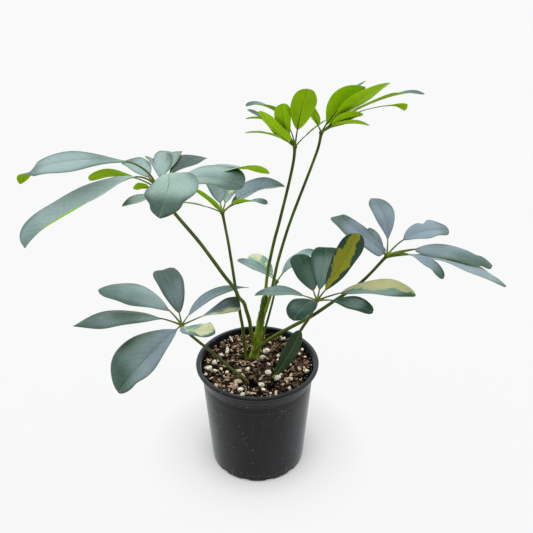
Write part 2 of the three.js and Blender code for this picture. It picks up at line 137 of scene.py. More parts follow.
# The splash of a leaflet says where its pale patches lie, as how pale it is, how much more to its left,
# less to its margin and more to its tip, and then how golden they are.
LEAVES = {
    "upper_left": compound(
        (-72, -80, 332), (1.9, 1.3),
        [(-3, 13, 126), (-5, 10, 134), (-7, 2, 158), (-10, -5, 176), (-12, -11, 188), (-16, -14, 195),
            (-19, -18, 206), (-28, -24, 224), (-46, -42, 266), (-63, -64, 305)],
        leaflet(188, 2, 44, 30, 84, 29, roll=-6, fold=5, rise=57, twist=70, start=0.85, curl=40, tip=0.8,
            skew=0.15),
        leaflet(218, -16, -5, 22, 95, 32, roll=16, fold=18, rise=85, curl=35, widest=0.65, tip=0.4,
            skew=-0.5, dark=-0.25),
        leaflet(160, -2, 60, 16, 44, 15, roll=42),
        leaflet(226, -5, 20, 10, 26, 13, fold=20, bend=-85, wave=0.08),
        leaflet(200, 10, 20, 6, 12, 11, roll=50, wave=0.08),
        leaflet(280, 7, 110, 24, 59, 38, roll=10, fold=4, bend=-64, widest=0.65, tip=0.8, skew=0.15,
            dents=((1, 0.8, 0.22), (-1, 0.84, 0.2))),
        leaflet(349, 7, 57, 17, 52, 39, fold=4, widest=0.65, tip=0.4, skew=0.15),
        leaflet(11, 5, 36, 13, 74, 19, twist=-60, start=0.55, curl=15, tip=0.8),
        leaflet(54, 6, 50, 14, 44, 21, tip=0.8, dark=0.6),
        leaflet(84, 6, 60, 10, 50, 21, bend=10),
        leaflet(101, 4, 60, 10, 41, 22, fold=30, bend=55),
        leaflet(130, 14, 40, 12, 30, 20),
    ),
    "middle_left": compound(
        (-30, 10, 268), (1.6, 1.2),
        [(-10.5, 8, 100), (-12, 6, 125), (-14, -1, 157), (-15, -4, 166), (-17, -5, 184), (-19, -4, 197),
            (-25, 3, 241)],
        leaflet(190, 46, 24, 3, 30, 7, roll=54, bend=-25, tip=0.25),
        leaflet(185, 16, 30, 14, 30, 7, roll=20),
        leaflet(105, 25, 30, 10, 36, 18),
        leaflet(74, 25, 30, 10, 32, 14, splash=(0.6, 0, 0.3, 0, 0)),
        leaflet(26, 12, 47, 18, 47, 29, fold=26, bend=-15, widest=0.4, tip=0.6),
        leaflet(342, 20, 64, 15, 32, 14, roll=-35, bend=12, twist=50, start=0.6, widest=0.5),
        leaflet(48, 10, 30, 12, 34, 12),
    ),
    "top_left": compound(
        (34, 45, 316), (1.5, 1.3),
        [(8, 17.5, 175), (8.5, 18.5, 189), (11, 21, 208), (16, 26, 232), (21, 30, 251), (33, 42, 304)],
        leaflet(207, 48, -20, 10, 42, 22, roll=20, bend=-15, widest=0.5, skew=0.1),
        leaflet(241, 62, -25, 9, 44, 15, roll=35, bend=25, widest=0.75),
        leaflet(283, 62, 10, 21, 50, 22, roll=-12, bend=8, skew=0.1),
        leaflet(150, 32, 95, 14, 52, 15, roll=50, bend=40, twist=-70, start=0.55),
        leaflet(175, 38, 30, 14, 40, 12),
        leaflet(190, 33, 80, 14, 43, 12, roll=28),
        leaflet(185, 18, 50, 12, 36, 12, roll=20),
        leaflet(10, 40, 20, 12, 24, 10, roll=-22),
    ),
    "top_right": compound(
        (57, 45, 329), (1.5, 1.2),
        [(7.5, 13.5, 162), (10.2, 12.5, 172), (13, 14.5, 182), (15, 17, 191), (19, 22, 210), (25, 26, 232),
            (31, 30, 251), (49, 41, 299), (55, 44, 317)],
        leaflet(320, 42, 16, 9, 76, 26, roll=-20, bend=-16, twist=10, widest=0.65, skew=0.15, dark=-0.2),
        leaflet(343, 51, 28, 8, 50, 30, roll=-50, tip=0.85, dark=-0.5),
        leaflet(5, 22, 38, 20, 78, 16, roll=-30, twist=50, start=0.7, curl=20, tip=0.8, wave=0.05),
        leaflet(350, 22, 45, 26, 54, 9, roll=-18, twist=-50, start=0.8, curl=20, widest=0.94, tip=0.2),
        leaflet(325, 33, 25, 14, 33, 16, roll=-35),
        leaflet(335, 17, 50, 10, 37, 15, roll=-30),
        leaflet(215, 60, 10, 8, 28, 14, roll=10),
        leaflet(44, 31, 40, 20, 48, 8, roll=-20),
    ),
    "right": compound(
        (116, 0, 230), (2, 1.3),
        [(-2, 11.5, 116), (1.5, 8, 125), (14, 6, 137), (31, 4, 150), (50, 3, 163), (70, 2, 180),
            (95, 1, 202)],
        leaflet(136, 20, 24, 3, 58, 26, bend=-22, widest=0.5, tip=0.2, skew=0.35, dark=0.1),
        leaflet(100, 34, 48, 13, 50, 22, bend=50, widest=0.65, tip=0.75),
        leaflet(18, 14, 50, 22, 44, 27, roll=7, bend=-45, wave=0.1, dark=-0.2, dents=((1, 0.52, 0.3),)),
        leaflet(349, 0, 59, 26, 70, 28, fold=-6, widest=0.55, tip=0.4, stout=2,
            dents=((1, 0.78, 0.3), (-1, 0.86, 0.35))),
        leaflet(337, -3.5, 50, 21, 88, 28, roll=-13, fold=-4, skew=0.3, stout=2, dark=-0.45,
            dents=((1, 0.84, 0.4),)),
        leaflet(319, -1, 84, 22, 41, 14, widest=0.7, stout=1.6, dents=((-1, 0.7, 0.25),)),
        leaflet(106, 10, 20, 8, 35, 8),
    ),
    "lower_right": compound(
        (53, -30, 202), (1.6, 1.3),
        [(13, -8, 100), (16, -9, 106), (31, -10, 138), (42, -17, 165), (47, -24, 180)],
        leaflet(165, -3, 45, 12, 46, 18, roll=4, dark=-0.25),
        leaflet(110, 25, 20, 10, 42, 24),
        leaflet(78, 27, 30, 10, 48, 26, bend=15, widest=0.72, tip=0.35, wave=0.06),
        leaflet(36, 49, 10, 12, 58, 28, roll=-5, bend=48, dark=0.4, splash=(1.15, 0.2, 0.95, -0.15, 1)),
        leaflet(357, 6, 45, 22, 66, 27, splash=(0.45, 1.1, 0.15, 0, 0.25)),
        leaflet(330, 5, 40, 16, 38, 21, dark=0.25),
        leaflet(240, 6, 60, 8, 38, 24, dark=0.25),
    ),
    "lower_left": compound(
        (-67, -30, 176), (1.5, 1.3),
        [(-8, -26.5, 101), (-9.8, -25.8, 109.5), (-25, -24.5, 124), (-43, -26, 145), (-60, -29, 165)],
        leaflet(168, 20, 56, 17, 69, 32, fold=-6, bend=44, tip=0.6, skew=0.15, dark=-0.2),
        leaflet(110, 17, 40, 12, 60, 26, bend=10, widest=0.7, tip=0.3, notch=0.14, dark=0.3),
        leaflet(188, 5, 46, 18, 79, 27, fold=-8, bend=15, widest=0.55, tip=1, skew=0.1),
        leaflet(226, -25, 30, 6, 76, 45, widest=0.58, tip=0.65, skew=-0.22, dark=-0.1,
            dents=((1, 0.8, 0.16),)),
        leaflet(43, 4.2, 50, 10, 74, 14, bend=-32, widest=0.45, tip=1.3, wave=0.07),
        leaflet(23, 10, 5, 18, 39, 15, roll=20, bend=-6, twist=58, start=0.5, widest=0.85, tip=0.2,
            skew=0.1, wave=0.08, splash=(0.3, -0.7, 0, -0.45, 0.1)),
        leaflet(326, 12, 20, 6, 38, 22, bend=100, widest=0.72, tip=0.3, notch=0.1, wave=0.16,
            splash=(0.66, 0.3, 0.4, -0.05, 0.12)),
    ),
    "behind": compound(
        (19, 48, 174.5), (1.3, 1),
        [(-2, 12.5, 112), (0, 15.5, 116), (3, 20, 120), (10, 28, 143), (15, 38, 159), (16, 41, 163),
            (16, 44, 168)],
        leaflet(160, 22, 30, 8, 37, 14),
        leaflet(132, 20, 30, 8, 34, 18, splash=(0.5, 0, 0.3, 0, 0)),
        leaflet(55, 15, 30, 10, 36, 10),
        leaflet(38, 21, 50, 14, 40, 14),
    ),
    "young": compound(
        (15.5, -22, 111.5), (1.3, 1),
        [(12.5, -21.5, 99), (14, -21.8, 106)],
        leaflet(354, 66, -12, 2, 58, 15, roll=55, fold=10, dark=0.5),
    ),
}

TRUNK = {
    "route": [(-4.5, 10, 97), (-4, 10.5, 106), (-1, 13, 122), (3.5, 16, 151), (6, 16, 165), (8, 17, 178)],
    "radii": (4.6, 3),
}

# What each leaf is of, how brown its petiole is, the heights of scars on the trunk, and where stems leave
# the soil.
LEAF_SLOTS = {name: "leaf_green" for name in LEAVES} | {"lower_right": "leaf_variegated"}
BROWN_STEMS = {"lower_left": 0.8, "lower_right": 0.9, "upper_left": 0.3, "right": 0.3}
LEAF_SCARS = [107, 112, 119, 127, 137, 148, 158, 166, 172]
STEM_FEET = [TRUNK["route"][1][:2], (-11, 8), (14.5, -8.5), (-9, -26), (14.5, -22)]

# Large pieces on the soil. Grains are (x, y, size), chips (x, y, length, width, heading, tone from dark
# to tan).
GRAINS = [
    (-30, 24.4, 3.6), (-30, 19.4, 4.5), (-35.5, 13.4, 4), (-41.5, 0.9, 4.9), (-46, -8.6, 4.9),
    (-40.5, -12.1, 4), (-17.5, -12.1, 4.5), (-9, -9.1, 4.5), (11, -1.1, 3.1), (9, 19.9, 6.4),
    (4.5, 8.9, 5.6), (10.5, -15.1, 5.8), (19, -23.6, 5.6), (31, -3.6, 3.6), (47, -12.1, 4.2),
    (44.5, 22.9, 3.6), (20, 12.4, 3.4), (20, 5.9, 3.1), (4, -34.1, 4.9), (6, -41.1, 3.6),
    (-15.5, -39.6, 4.7), (-13.5, -46.6, 4.3), (-49, -17.6, 3.4), (-29, -13.1, 3.6), (-34.5, -9.6, 3),
    (46.5, 10.4, 2.8), (41.5, 15.9, 3.4), (-23, -44.1, 3), (-8, -43.1, 2.6), (12.5, -46.1, 2.8),
    (30, -37.6, 2.8), (22, -18.1, 2.8), (-38, 3.9, 2.6), (26, 40.9, 4.4), (33, 34.9, 3.2), (-14, 40.9, 3),
    (-3, 42.9, 2.6),
]
CHIPS = [
    (-21, 30.4, 15, 4, 52, 0.75), (-19, 4.9, 15, 5, -8, 0.7), (2, -16.6, 12, 7, 5, 0.35),
    (9, -24.1, 11, 6, 15, 0.45), (20.5, 29.9, 10, 6, -30, 0.55), (13.5, 10.4, 8, 5, 25, 0.4),
    (-35, -34.1, 10, 6, -15, 0.95), (-23, -34.1, 9, 8, 70, 0.9), (-18.5, -27.6, 7, 6, 20, 1),
    (29.5, -23.6, 8, 6.5, 10, 0.95), (35, -7.1, 9, 7, 60, 0.6), (44, 0.4, 11, 5, 30, 0.65),
    (-47, 7.4, 6, 5, 40, 0.85), (36, -28.1, 10, 4, 35, 0.5), (-34.5, 34.9, 9, 4, 65, 0.5),
    (16.5, 42.9, 8, 5, 15, 0.6), (-36, -21.1, 10, 4, -35, 0.4), (21, -35.1, 10, 4, -40, 0.5),
    (38, 25.9, 8, 5, 70, 0.45), (-9, 29.9, 8, 4, 10, 0.4), (-45, 18.9, 8, 4, 80, 0.5),
    (0, 34.9, 9, 5, -60, 0.6),
]
LOOSE_CHIPS = 1500
CHIP_LENGTHS = (1.6, 2, 2, 2.5, 2.5, 3, 3, 3.5, 4, 5, 6.5)
THICKEST_CHIP = 2.6
LARGE_CHIP = 5
LOOSE_GRAINS = 90
LOOSE_GRAIN_SIZES = (0.7, 1.9)
CRUMBS = 2600
CRUMB_SIZES = (0.8, 1, 1.3, 1.7, 2.3)
FIBRES = 520
FIBRE_RADII = (0.12, 0.22, 0.26, 0.25, 0.2, 0.1)
# For each kind of loose piece, the seed of its random numbers, and how far from the pot's wall it stays.
SCATTER = {"bark_chips": (4, 1.5), "white_grains": (11, 2), "crumbs": (23, 1), "fibres": (31, 6)}
STEM_CLEARANCE = 2.5

# The numbers that each point carries to its material. For a blade: along and across from the foot of the
# midrib, in millimetres, and the shares of the way to the margin and to the end. For a stem: along and
# around it, in millimetres, and the share of its length.
VALUE_NAMES = ["along", "across", "margin", "pale", "gold", "tone", "end"]


class Shape:
    """Points in millimetres, faces, and named numbers for each point, gathered into one mesh."""

    def __init__(self):
        self.points = []
        self.faces = []
        self.slots = []
        self.values = []
        self.count = 0

    def add(self, points, faces, slots=0, values=0):
        """slots is a number for each face, or one for them all. values is a row for each point, or one row.
        The names that a row doesn't reach are 0."""
        points = np.asarray(points, float).reshape(-1, 3)
        values = np.atleast_2d(values)
        rows = np.zeros((len(points), len(VALUE_NAMES)))
        rows[:, : values.shape[1]] = values
        self.points.append(points)
        self.values.append(rows)
        self.faces += [tuple(i + self.count for i in face) for face in faces]
        self.slots += slots if isinstance(slots, list) else [slots] * len(faces)
        self.count += len(points)

    def build(self, name, slot, materials, replaced=(), smooth=True):
        """The finished piece, riding on the plant's only body."""
        mesh = bpy.data.meshes.new(name)
        mesh.from_pydata((np.vstack(self.points) * MM).tolist(), [], self.faces)
        mesh.polygons.foreach_set("material_index", self.slots)
        mesh.polygons.foreach_set("use_smooth", [smooth] * len(self.faces))
        rows = np.vstack(self.values)
        for i, value_name in enumerate(VALUE_NAMES):
            data = mesh.attributes.new(value_name, "FLOAT", "POINT").data
            data.foreach_set("value", np.ascontiguousarray(rows[:, i]))
        for material in materials:
            mesh.materials.append(material)
        mesh.update()
        piece = bpy.data.objects.new(name, mesh)
        bpy.context.scene.collection.objects.link(piece)
        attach(piece, "root")
        if replaced:
            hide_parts(*replaced)
        return piece


def grid_faces(rows, columns, around=False, flip=False):
    """Quads between the points of a grid that runs row by row."""
    faces = []
    for i in range(rows - 1):
        for k in range(columns if around else columns - 1):
            n = (k + 1) % columns
            face = (i * columns + k, i * columns + n, (i + 1) * columns + n, (i + 1) * columns + k)
            faces.append(face[::-1] if flip else face)
    return faces


def grid_edge(rows, columns):
    """The points round the edge of a grid, in order."""
    edge = list(range(columns))
    edge += [i * columns + columns - 1 for i in range(1, rows)]
    edge += [(rows - 1) * columns + k for k in range(columns - 2, -1, -1)]
    return edge + [i * columns for i in range(rows - 2, 0, -1)]


def closed_faces(rows, columns, flip=False):
    """Faces of a grid closed round on itself, with one over each end."""
    last = (rows - 1) * columns
    faces = grid_faces(rows, columns, around=True)
    faces += [tuple(range(columns))[::-1], tuple(range(last, last + columns))]
    return [face[::-1] for face in faces] if flip else faces


def mixed(a, b, share):
    return a + (b - a) * share


def eased(share):
    share = np.clip(share, 0, 1)
    return share * share * (3 - 2 * share)


def fading(distance, reach):
    """1 at no distance, fading away over reach."""
    return np.exp(-distance / reach)


def bump(offset, reach):
    """1 at no offset, fading away to both sides over reach."""
    return np.exp(-((offset / reach) ** 2))


def unit(vectors):
    return vectors / np.linalg.norm(vectors, axis=-1, keepdims=True)


def circle(sides):
    """The places round a unit circle, as (x, y)."""
    turns = [2 * math.pi * k / sides for k in range(sides)]
    return [(math.cos(turn), math.sin(turn)) for turn in turns]


def ball(subdivisions):
    """Points and faces of a unit ball of even triangles."""
    made = bmesh.new()
    bmesh.ops.create_icosphere(made, subdivisions=subdivisions, radius=1)
    points = np.array([v.co[:] for v in made.verts])
    faces = [tuple(v.index for v in face.verts) for face in made.faces]
    made.free()
    return points, faces


def smooth_route(points, steps):
    """Evenly spaced points on a centripetal Catmull-Rom curve through the given ones."""
    points = [np.array(point, float) for point in points]
    points = [2 * points[0] - points[1], *points, 2 * points[-1] - points[-2]]
    t = np.linspace(0, 1, 24, endpoint=False)[:, None]
    fine = []
    for a, b, c, d in zip(points, points[1:], points[2:], points[3:]):
        u, v, w = (math.sqrt(np.linalg.norm(step)) for step in (b - a, c - b, d - c))
        start = v * ((b - a) / u - (c - a) / (u + v) + (c - b) / v)
        end = v * ((c - b) / v - (d - b) / (v + w) + (d - c) / w)
        bend = 3 * (c - b) - 2 * start - end
        fine.append(b + start * t + bend * t**2 + (2 * (b - c) + start + end) * t**3)
    fine = np.vstack([*fine, points[-2][None]])
    lengths = np.concatenate([[0], np.cumsum(np.linalg.norm(np.diff(fine, axis=0), axis=1))])
    wanted = np.linspace(0, lengths[-1], steps + 1)
    return np.stack([np.interp(wanted, lengths, fine[:, i]) for i in range(3)], 1)


def tube(shape, points, radii, sides, slot, tone=0.0, lumps=0.0, brown=0.0):
    """A closed round stem through the points, with a radius at each, and slight lumps as a share of it."""
    tangents = unit(np.gradient(points, axis=0))
    side = np.array([1, 0.3, 0.05])
    turns = np.linspace(0, 2 * math.pi, sides, endpoint=False)
    lengths = np.concatenate([[0], np.cumsum(np.linalg.norm(np.diff(points, axis=0), axis=1))])
    rings = []
    values = []
    for point, along, radius, length in zip(points, tangents, radii, lengths):
        side = unit(side - along * side.dot(along))
        other = np.cross(along, side)
        for turn in turns:
            out = side * math.cos(turn) + other * math.sin(turn)
            uneven = 1 + lumps * noise.noise(Vector(out * 1.3 + point * 0.12))
            rings.append(point + out * radius * uneven)
            around = min(turn, 2 * math.pi - turn) * radius
            values.append((length, around, length / lengths[-1], 0, brown, tone))
    shape.add(rings, closed_faces(len(points), sides), slot, values)


# Leaves. A leaflet runs from the hub along its stalk and midrib, and its blade spreads to both sides of
# that line.
TOP, UNDER, STEM = range(3)


def midrib(hub, p):
    """Points from hub to tip, each with the directions across the blade and out of its top."""
    s = np.linspace(0, 1, MIDRIB_STEPS + 1)
    curl = p["curl"] * np.clip((s - CURL_START) / (1 - CURL_START), 0, 1) ** 2
    lift = p["rise"] * np.clip(1 - s / RISE_END, 0, 1) - curl
    slope = np.radians(p["tilt"] + p["arch"] * (0.5 - s) + lift)
    heading = np.radians(p["heading"] + p["bend"] * (s - 0.5))
    level = np.stack([-np.sin(heading), np.cos(heading), 0 * s], 1)
    along = np.stack([np.cos(slope) * np.cos(heading), np.cos(slope) * np.sin(heading), np.sin(slope)], 1)
    steps = unit(along[1:] + along[:-1]) * (p["stalk"] + p["length"]) / MIDRIB_STEPS
    points = np.vstack([[0, 0, 0], np.cumsum(steps, 0)]) + np.array(hub, float)
    out = np.cross(along, level)
    turned = np.clip((s - p["start"]) / (1 - p["start"]), 0, 1)
    roll = np.radians(p["roll"] + p["twist"] * turned)[:, None]
    return points, level * np.cos(roll) + out * np.sin(roll), out * np.cos(roll) - level * np.sin(roll)


def at_shares(rows, shares):
    """Rows of the midrib at shares of its length, for an array of shares of any form."""
    place = np.linspace(0, 1, len(rows))
    return np.stack([np.interp(shares, place, rows[:, i]) for i in range(3)], -1)


def half_width(q, p):
    """Half the blade's width at a share q of its length: narrow at the stalk, round towards the tip."""
    base = p["widest"] / (1 - p["widest"]) * p["tip"]
    peak = p["widest"] ** base * (1 - p["widest"]) ** p["tip"]
    return np.maximum(q**base * (1 - q) ** p["tip"] / peak * p["width"] / 2, LEAST_HALF_WIDTH)


def vein_place(along, across):
    """How far along the midrib the side vein through a place leaves it."""
    reach = np.abs(across)
    return along - VEIN_SLANT * reach - VEIN_BEND * reach**2 + VEIN_STAGGER * (across > 0)


def add_blade(shape, course, p, phase, tone):
    """A thin closed blade with a midrib groove, puffed up between side veins and waved at its margins."""
    rows = max(18, round(p["length"] / STATION_LENGTH))
    q = (1 - np.cos(np.linspace(0, math.pi, rows))) / 2
    q = mixed(q, np.linspace(0, 1, rows), 0.5)[:, None]
    u = np.concatenate([-BLADE_COLUMNS[:0:-1], BLADE_COLUMNS])[None, :]
    total = p["stalk"] + p["length"]
    pulled = q * (1 - p["notch"] * (1 - np.abs(u)) ** 2 * q**8)
    points, across, up = (at_shares(line, (p["stalk"] + pulled * p["length"]) / total) for line in course)
    uneven = 1 + p["wave"] * np.sin(13 * q + phase + 2 * np.sign(u)) * q
    for dent_side, place, depth in p["dents"]:
        uneven = uneven - depth * bump(q - place, DENT_SPREAD) * np.clip(dent_side * u, 0, 1)
    reach = u * (1 + p["skew"] * np.sign(u)) * half_width(q, p) * uneven
    fold = math.radians(p["fold"])
    bell = 4 * q * (1 - q)
    size = p["width"] / USUAL_WIDTH
    puff = 0.5 - 0.5 * np.cos(2 * math.pi * vein_place(q * p["length"], reach) / VEIN_SPACING)
    lift = np.abs(reach) * math.sin(fold)
    lift = lift + RIPPLE * p["width"] * np.sin(9 * q + phase) * bell * u * np.abs(u)
    lift = lift + PUFF_HEIGHT * size * puff * np.sin(math.pi * np.abs(u)) * np.sqrt(bell)
    lift = lift - GROOVE_DEPTH * size * bump(reach, GROOVE_REACH) * bell
    lift = lift - DROOP * p["width"] * np.abs(u) ** 3
    middle = points + across * (reach * math.cos(fold))[..., None] + up * lift[..., None]
    drift = [[noise.noise(Vector(point * 0.045)) for point in row] for row in middle]
    middle = middle + up * (WANDER * size * np.array(drift) * bell * np.abs(u))[..., None]
    half = mixed(BLADE_THICKNESS, MARGIN_THICKNESS, np.abs(u) ** 3) / 2 * np.ones_like(q)
    splash = p["splash"]
    pale = splash[0] + splash[1] * u - splash[2] * np.abs(u) + splash[3] * q if splash else 0 * q * u - 1
    gold = splash[4] if splash else 0
    flat = 0 * q * u
    values = [q * p["length"] + flat, reach, np.abs(u) + flat, pale, gold + flat, tone + flat, q + flat]
    values = np.stack(values, -1).reshape(-1, len(VALUE_NAMES))
    columns = u.shape[1]
    top = (middle + up * half[..., None]).reshape(-1, 3)
    under = (middle - up * half[..., None]).reshape(-1, 3)
    count = len(top)
    edge = grid_edge(rows, columns)
    above = grid_faces(rows, columns, flip=True)
    below = [tuple(i + count for i in face) for face in grid_faces(rows, columns)]
    below += [(a, b, b + count, a + count) for a, b in zip(edge, edge[1:] + edge[:1])]
    slots = [TOP] * len(above) + [UNDER] * len(below)
    shape.add(np.vstack([top, under]), above + below, slots, np.vstack([values, values]))


def add_stalk(shape, course, p, tone, brown):
    """The leaflet's own stalk, which goes on under the blade as its midrib and thins towards the tip."""
    points, _, up = course
    total = p["stalk"] + p["length"]
    on_stalk = np.linspace(0, p["stalk"], 7)[:-1]
    shares = np.concatenate([on_stalk, np.linspace(p["stalk"], total * 0.97, 16)]) / total
    line = at_shares(points, shares)
    on_blade = np.clip((shares * total - p["stalk"]) / p["length"], 0, 1)
    slim = min(1, 0.55 + p["width"] / 50)
    before = mixed(*STALK_RADII, shares * total / max(p["stalk"], 1))
    radii = np.where(on_blade > 0, mixed(STALK_RADII[1], RIB_END_RADIUS, np.sqrt(on_blade)), before)
    stout = mixed(p["stout"], 1, np.clip(shares * total / (p["stalk"] + 3), 0, 1) ** 2)
    radii = radii * slim * stout + 0.35 * fading(shares * total, 1.6)
    sunk = eased(on_blade / 0.12) * (BLADE_THICKNESS / 2 + radii * 0.35)
    line = line - at_shares(up, shares) * sunk[:, None]
    tube(shape, line, radii, STALK_SIDES, STEM, tone + 0.35, brown=brown)


def leaf(name, materials, slot):
    """A compound leaf: its petiole, the knob where its leaflets meet, and each leaflet on its stalk."""
    plan = LEAVES[name]
    chance = random.Random(name)
    shape = Shape()
    tone = chance.uniform(-0.2, 0.2)
    hub = np.array(plan["hub"], float)
    route = smooth_route([*plan["petiole"], plan["hub"]], PETIOLE_STEPS)
    share = np.linspace(0, 1, len(route))
    length = np.linalg.norm(np.diff(route, axis=0), axis=1).sum()
    radii = mixed(*plan["radii"], share)
    radii = radii * (1 + 0.3 * fading(share * length, 5)) + 0.5 * fading((1 - share) * length, 3)
    brown = BROWN_STEMS.get(name, 0)
    tube(shape, route, radii, STEM_SIDES, STEM, tone, lumps=0.06, brown=brown)
    if len(plan["leaflets"]) > 1:
        points, faces = ball(2)
        lumps = [1 + 0.16 * noise.noise(Vector(point * 2.1 + hub)) for point in points]
        knob = hub + points * np.array(lumps)[:, None] * HUB_RADIUS * KNOB_SIZE
        shape.add(knob, faces, STEM, (0, 0, 1, 0, brown, tone + 0.2))
    for i, p in enumerate(plan["leaflets"]):
        # dark paints shade on this leaflet (painted light below 0), through its tone.
        leaflet_tone = tone + chance.uniform(-0.35, 0.35) - 3 * p["dark"]
        course = midrib(hub, p)
        add_stalk(shape, course, p, tone, brown)
        add_blade(shape, course, p, 2 * i, leaflet_tone)
    shape.build(f"leaf_{name}_fine", slot, materials, [f"leaf_{name}"])


def trunk(material):
    """The woody main stem, swollen where each leaf grew or grows out of it."""
    shape = Shape()
    route = smooth_route(TRUNK["route"], TRUNK_STEPS)
    share = np.linspace(0, 1, len(route))
    heights = route[:, 2]
    radii = mixed(*TRUNK["radii"], share)
    for level in LEAF_SCARS:
        radii = radii + 0.45 * bump(heights - level, 1.6)
    radii = radii + 0.8 * fading(heights - heights[0] - 8, 5)
    radii = radii * np.sqrt(np.clip((1.02 - share) / 0.05, 0, 1))
    tube(shape, route, radii, TRUNK_SIDES, 0, tone=0.1, lumps=0.07)
    shape.build("trunk_fine", "green_stem", [material], ["trunk"])


# Soil, its bark, grains, crumbs and fibres.
def soil_height(x, y):
    """Top of the soil, rolling a little, with its hollows."""
    height = SOIL_LEVEL + 0.8 * math.sin(0.19 * x + 1) * math.cos(0.16 * y)
    height += 0.5 * math.sin(0.41 * x - 0.33 * y)
    for hollow_x, hollow_y, radius, depth in HOLLOWS:
        height -= depth * math.exp(-(((x - hollow_x) ** 2 + (y - hollow_y) ** 2) / radius**2) ** 1.5)
    return height


def in_hollow(x, y, clearance):
    """Whether a place is in one of the two hollows beside the stems."""
    return any(math.hypot(x - a, y - b) < r * 0.8 + clearance for a, b, r, _ in HOLLOWS[:2])


def pot_inside(z):
    """Radius of the pot's inner wall at a height."""
    levels = [BASE_THICKNESS, COLLAR_BOTTOM, NECK_LEVEL]
    return np.interp(z, levels, [FLOOR_RADIUS, WAIST_RADIUS - POT_WALL, NECK_RADIUS - POT_WALL])


def soil(material):
    """The body of the soil, down to the floor of the pot, with a coarse lumpy top."""
    shape = Shape()
    edge = pot_inside(SOIL_LEVEL) - SOIL_GAP
    rings = []
    for radius in np.linspace(SOIL_MIDDLE, edge, SOIL_RINGS):
        for c, s in circle(SOIL_COLUMNS):
            x, y = radius * c, radius * s
            z = soil_height(x, y)
            for height, layer, frequency in SOIL_LUMPS:
                z += height * noise.noise(Vector((x, y, layer)) * frequency)
            rings.append((x, y, z))
    bottom = BASE_THICKNESS + SOIL_GAP
    below = [(level, pot_inside(level) - SOIL_GAP) for level in (*SOIL_SIDE_LEVELS, bottom)]
    for level, radius in [*below, (bottom, SOIL_MIDDLE)]:
        rings += [(radius * c, radius * s, level) for c, s in circle(SOIL_COLUMNS)]
    shape.add(rings, closed_faces(len(rings) // SOIL_COLUMNS, SOIL_COLUMNS, flip=True))
    shape.build("soil_fine", "soil_bark", [material], ["soil"])


def turned(points, heading, tilt, roll):
    """Points turned about their own long axis, then tipped, then headed."""
    for angle, (i, k) in ((roll, (1, 2)), (tilt, (2, 0)), (heading, (0, 1))):
        c, s = math.cos(math.radians(angle)), math.sin(math.radians(angle))
        a, b = points[:, i].copy(), points[:, k].copy()
        points[:, i], points[:, k] = a * c - b * s, a * s + b * c
    return points


def clear_of_stems(x, y, clearance):
    return all(math.hypot(x - a, y - b) > clearance for a, b in STEM_FEET)


def random_spot(chance, reach):
    """A place on the soil, any as likely as another, within reach of the pot's axis."""
    radius = math.sqrt(chance.random()) * reach
    turn = chance.uniform(0, 2 * math.pi)
    return radius * math.cos(turn), radius * math.sin(turn)


def scattering(name):
    """What loose pieces start with: random numbers, an empty shape, and how far out they may lie."""
    seed, gap = SCATTER[name]
    return random.Random(seed), Shape(), pot_inside(SOIL_LEVEL) - gap


def chip_points(chance, length, width, thickness):
    """A broken bark chip: a flat block of a few rings, ragged at its ends and split along its grain."""
    sides, places = 6, (-1, -0.6, 0.1, 0.7, 1)
    if length > LARGE_CHIP:
        sides, places = 10, (-1, -0.86, -0.5, -0.1, 0.35, 0.8, 1)
    rings = len(places)
    points = []
    ends = {0: chance.uniform(0.35, 0.7), rings - 1: chance.uniform(0.45, 0.8)}
    for i, place in enumerate(places):
        taper = ends.get(i) or chance.uniform(0.8, 1.08)
        bow = chance.uniform(-0.12, 0.12) * width
        for c, s in circle(sides):
            y = math.copysign(abs(c) ** 0.6, c) * width / 2 * taper * chance.uniform(0.8, 1.1)
            z = math.copysign(abs(s) ** 0.6, s) * thickness / 2 * taper * chance.uniform(0.7, 1.15)
            x = place * length / 2 + chance.uniform(-0.07, 0.07) * length
            points.append((x, y + bow, z))
    return np.array(points), closed_faces(rings, sides)


def bark_chips(material):
    chance, shape, edge = scattering("bark_chips")
    chips = [(*chip, False) for chip in CHIPS]
    while len(chips) < len(CHIPS) + LOOSE_CHIPS:
        length = chance.choice(CHIP_LENGTHS) * chance.uniform(0.8, 1.15)
        x, y = random_spot(chance, edge - length / 2)
        tone = min(1, max(0, chance.gauss(0.48, 0.38)))
        if clear_of_stems(x, y, STEM_CLEARANCE + length / 3) and not in_hollow(x, y, length / 2):
            width = length * chance.uniform(0.2, 0.6)
            chips.append((x, y, length, width, chance.uniform(0, 180), tone, True))
    for x, y, length, width, heading, tone, loose in chips:
        thickness = min(THICKEST_CHIP, 0.35 * width + 0.5)
        points, faces = chip_points(chance, length, width, thickness)
        tilt = chance.uniform(-35, 35) if loose else chance.uniform(-6, 6)
        roll = chance.uniform(-35, 35) if loose else chance.uniform(-10, 10)
        points = turned(points, heading, tilt, roll)
        z = soil_height(x, y) + (chance.uniform(0.1, 1.5) if loose else 0.2 * thickness)
        shape.add(points + (x, y, z), faces, 0, (x, y, 0, 0, 0, tone))
    shape.build("bark_chips", "soil_bark", [material], smooth=False)


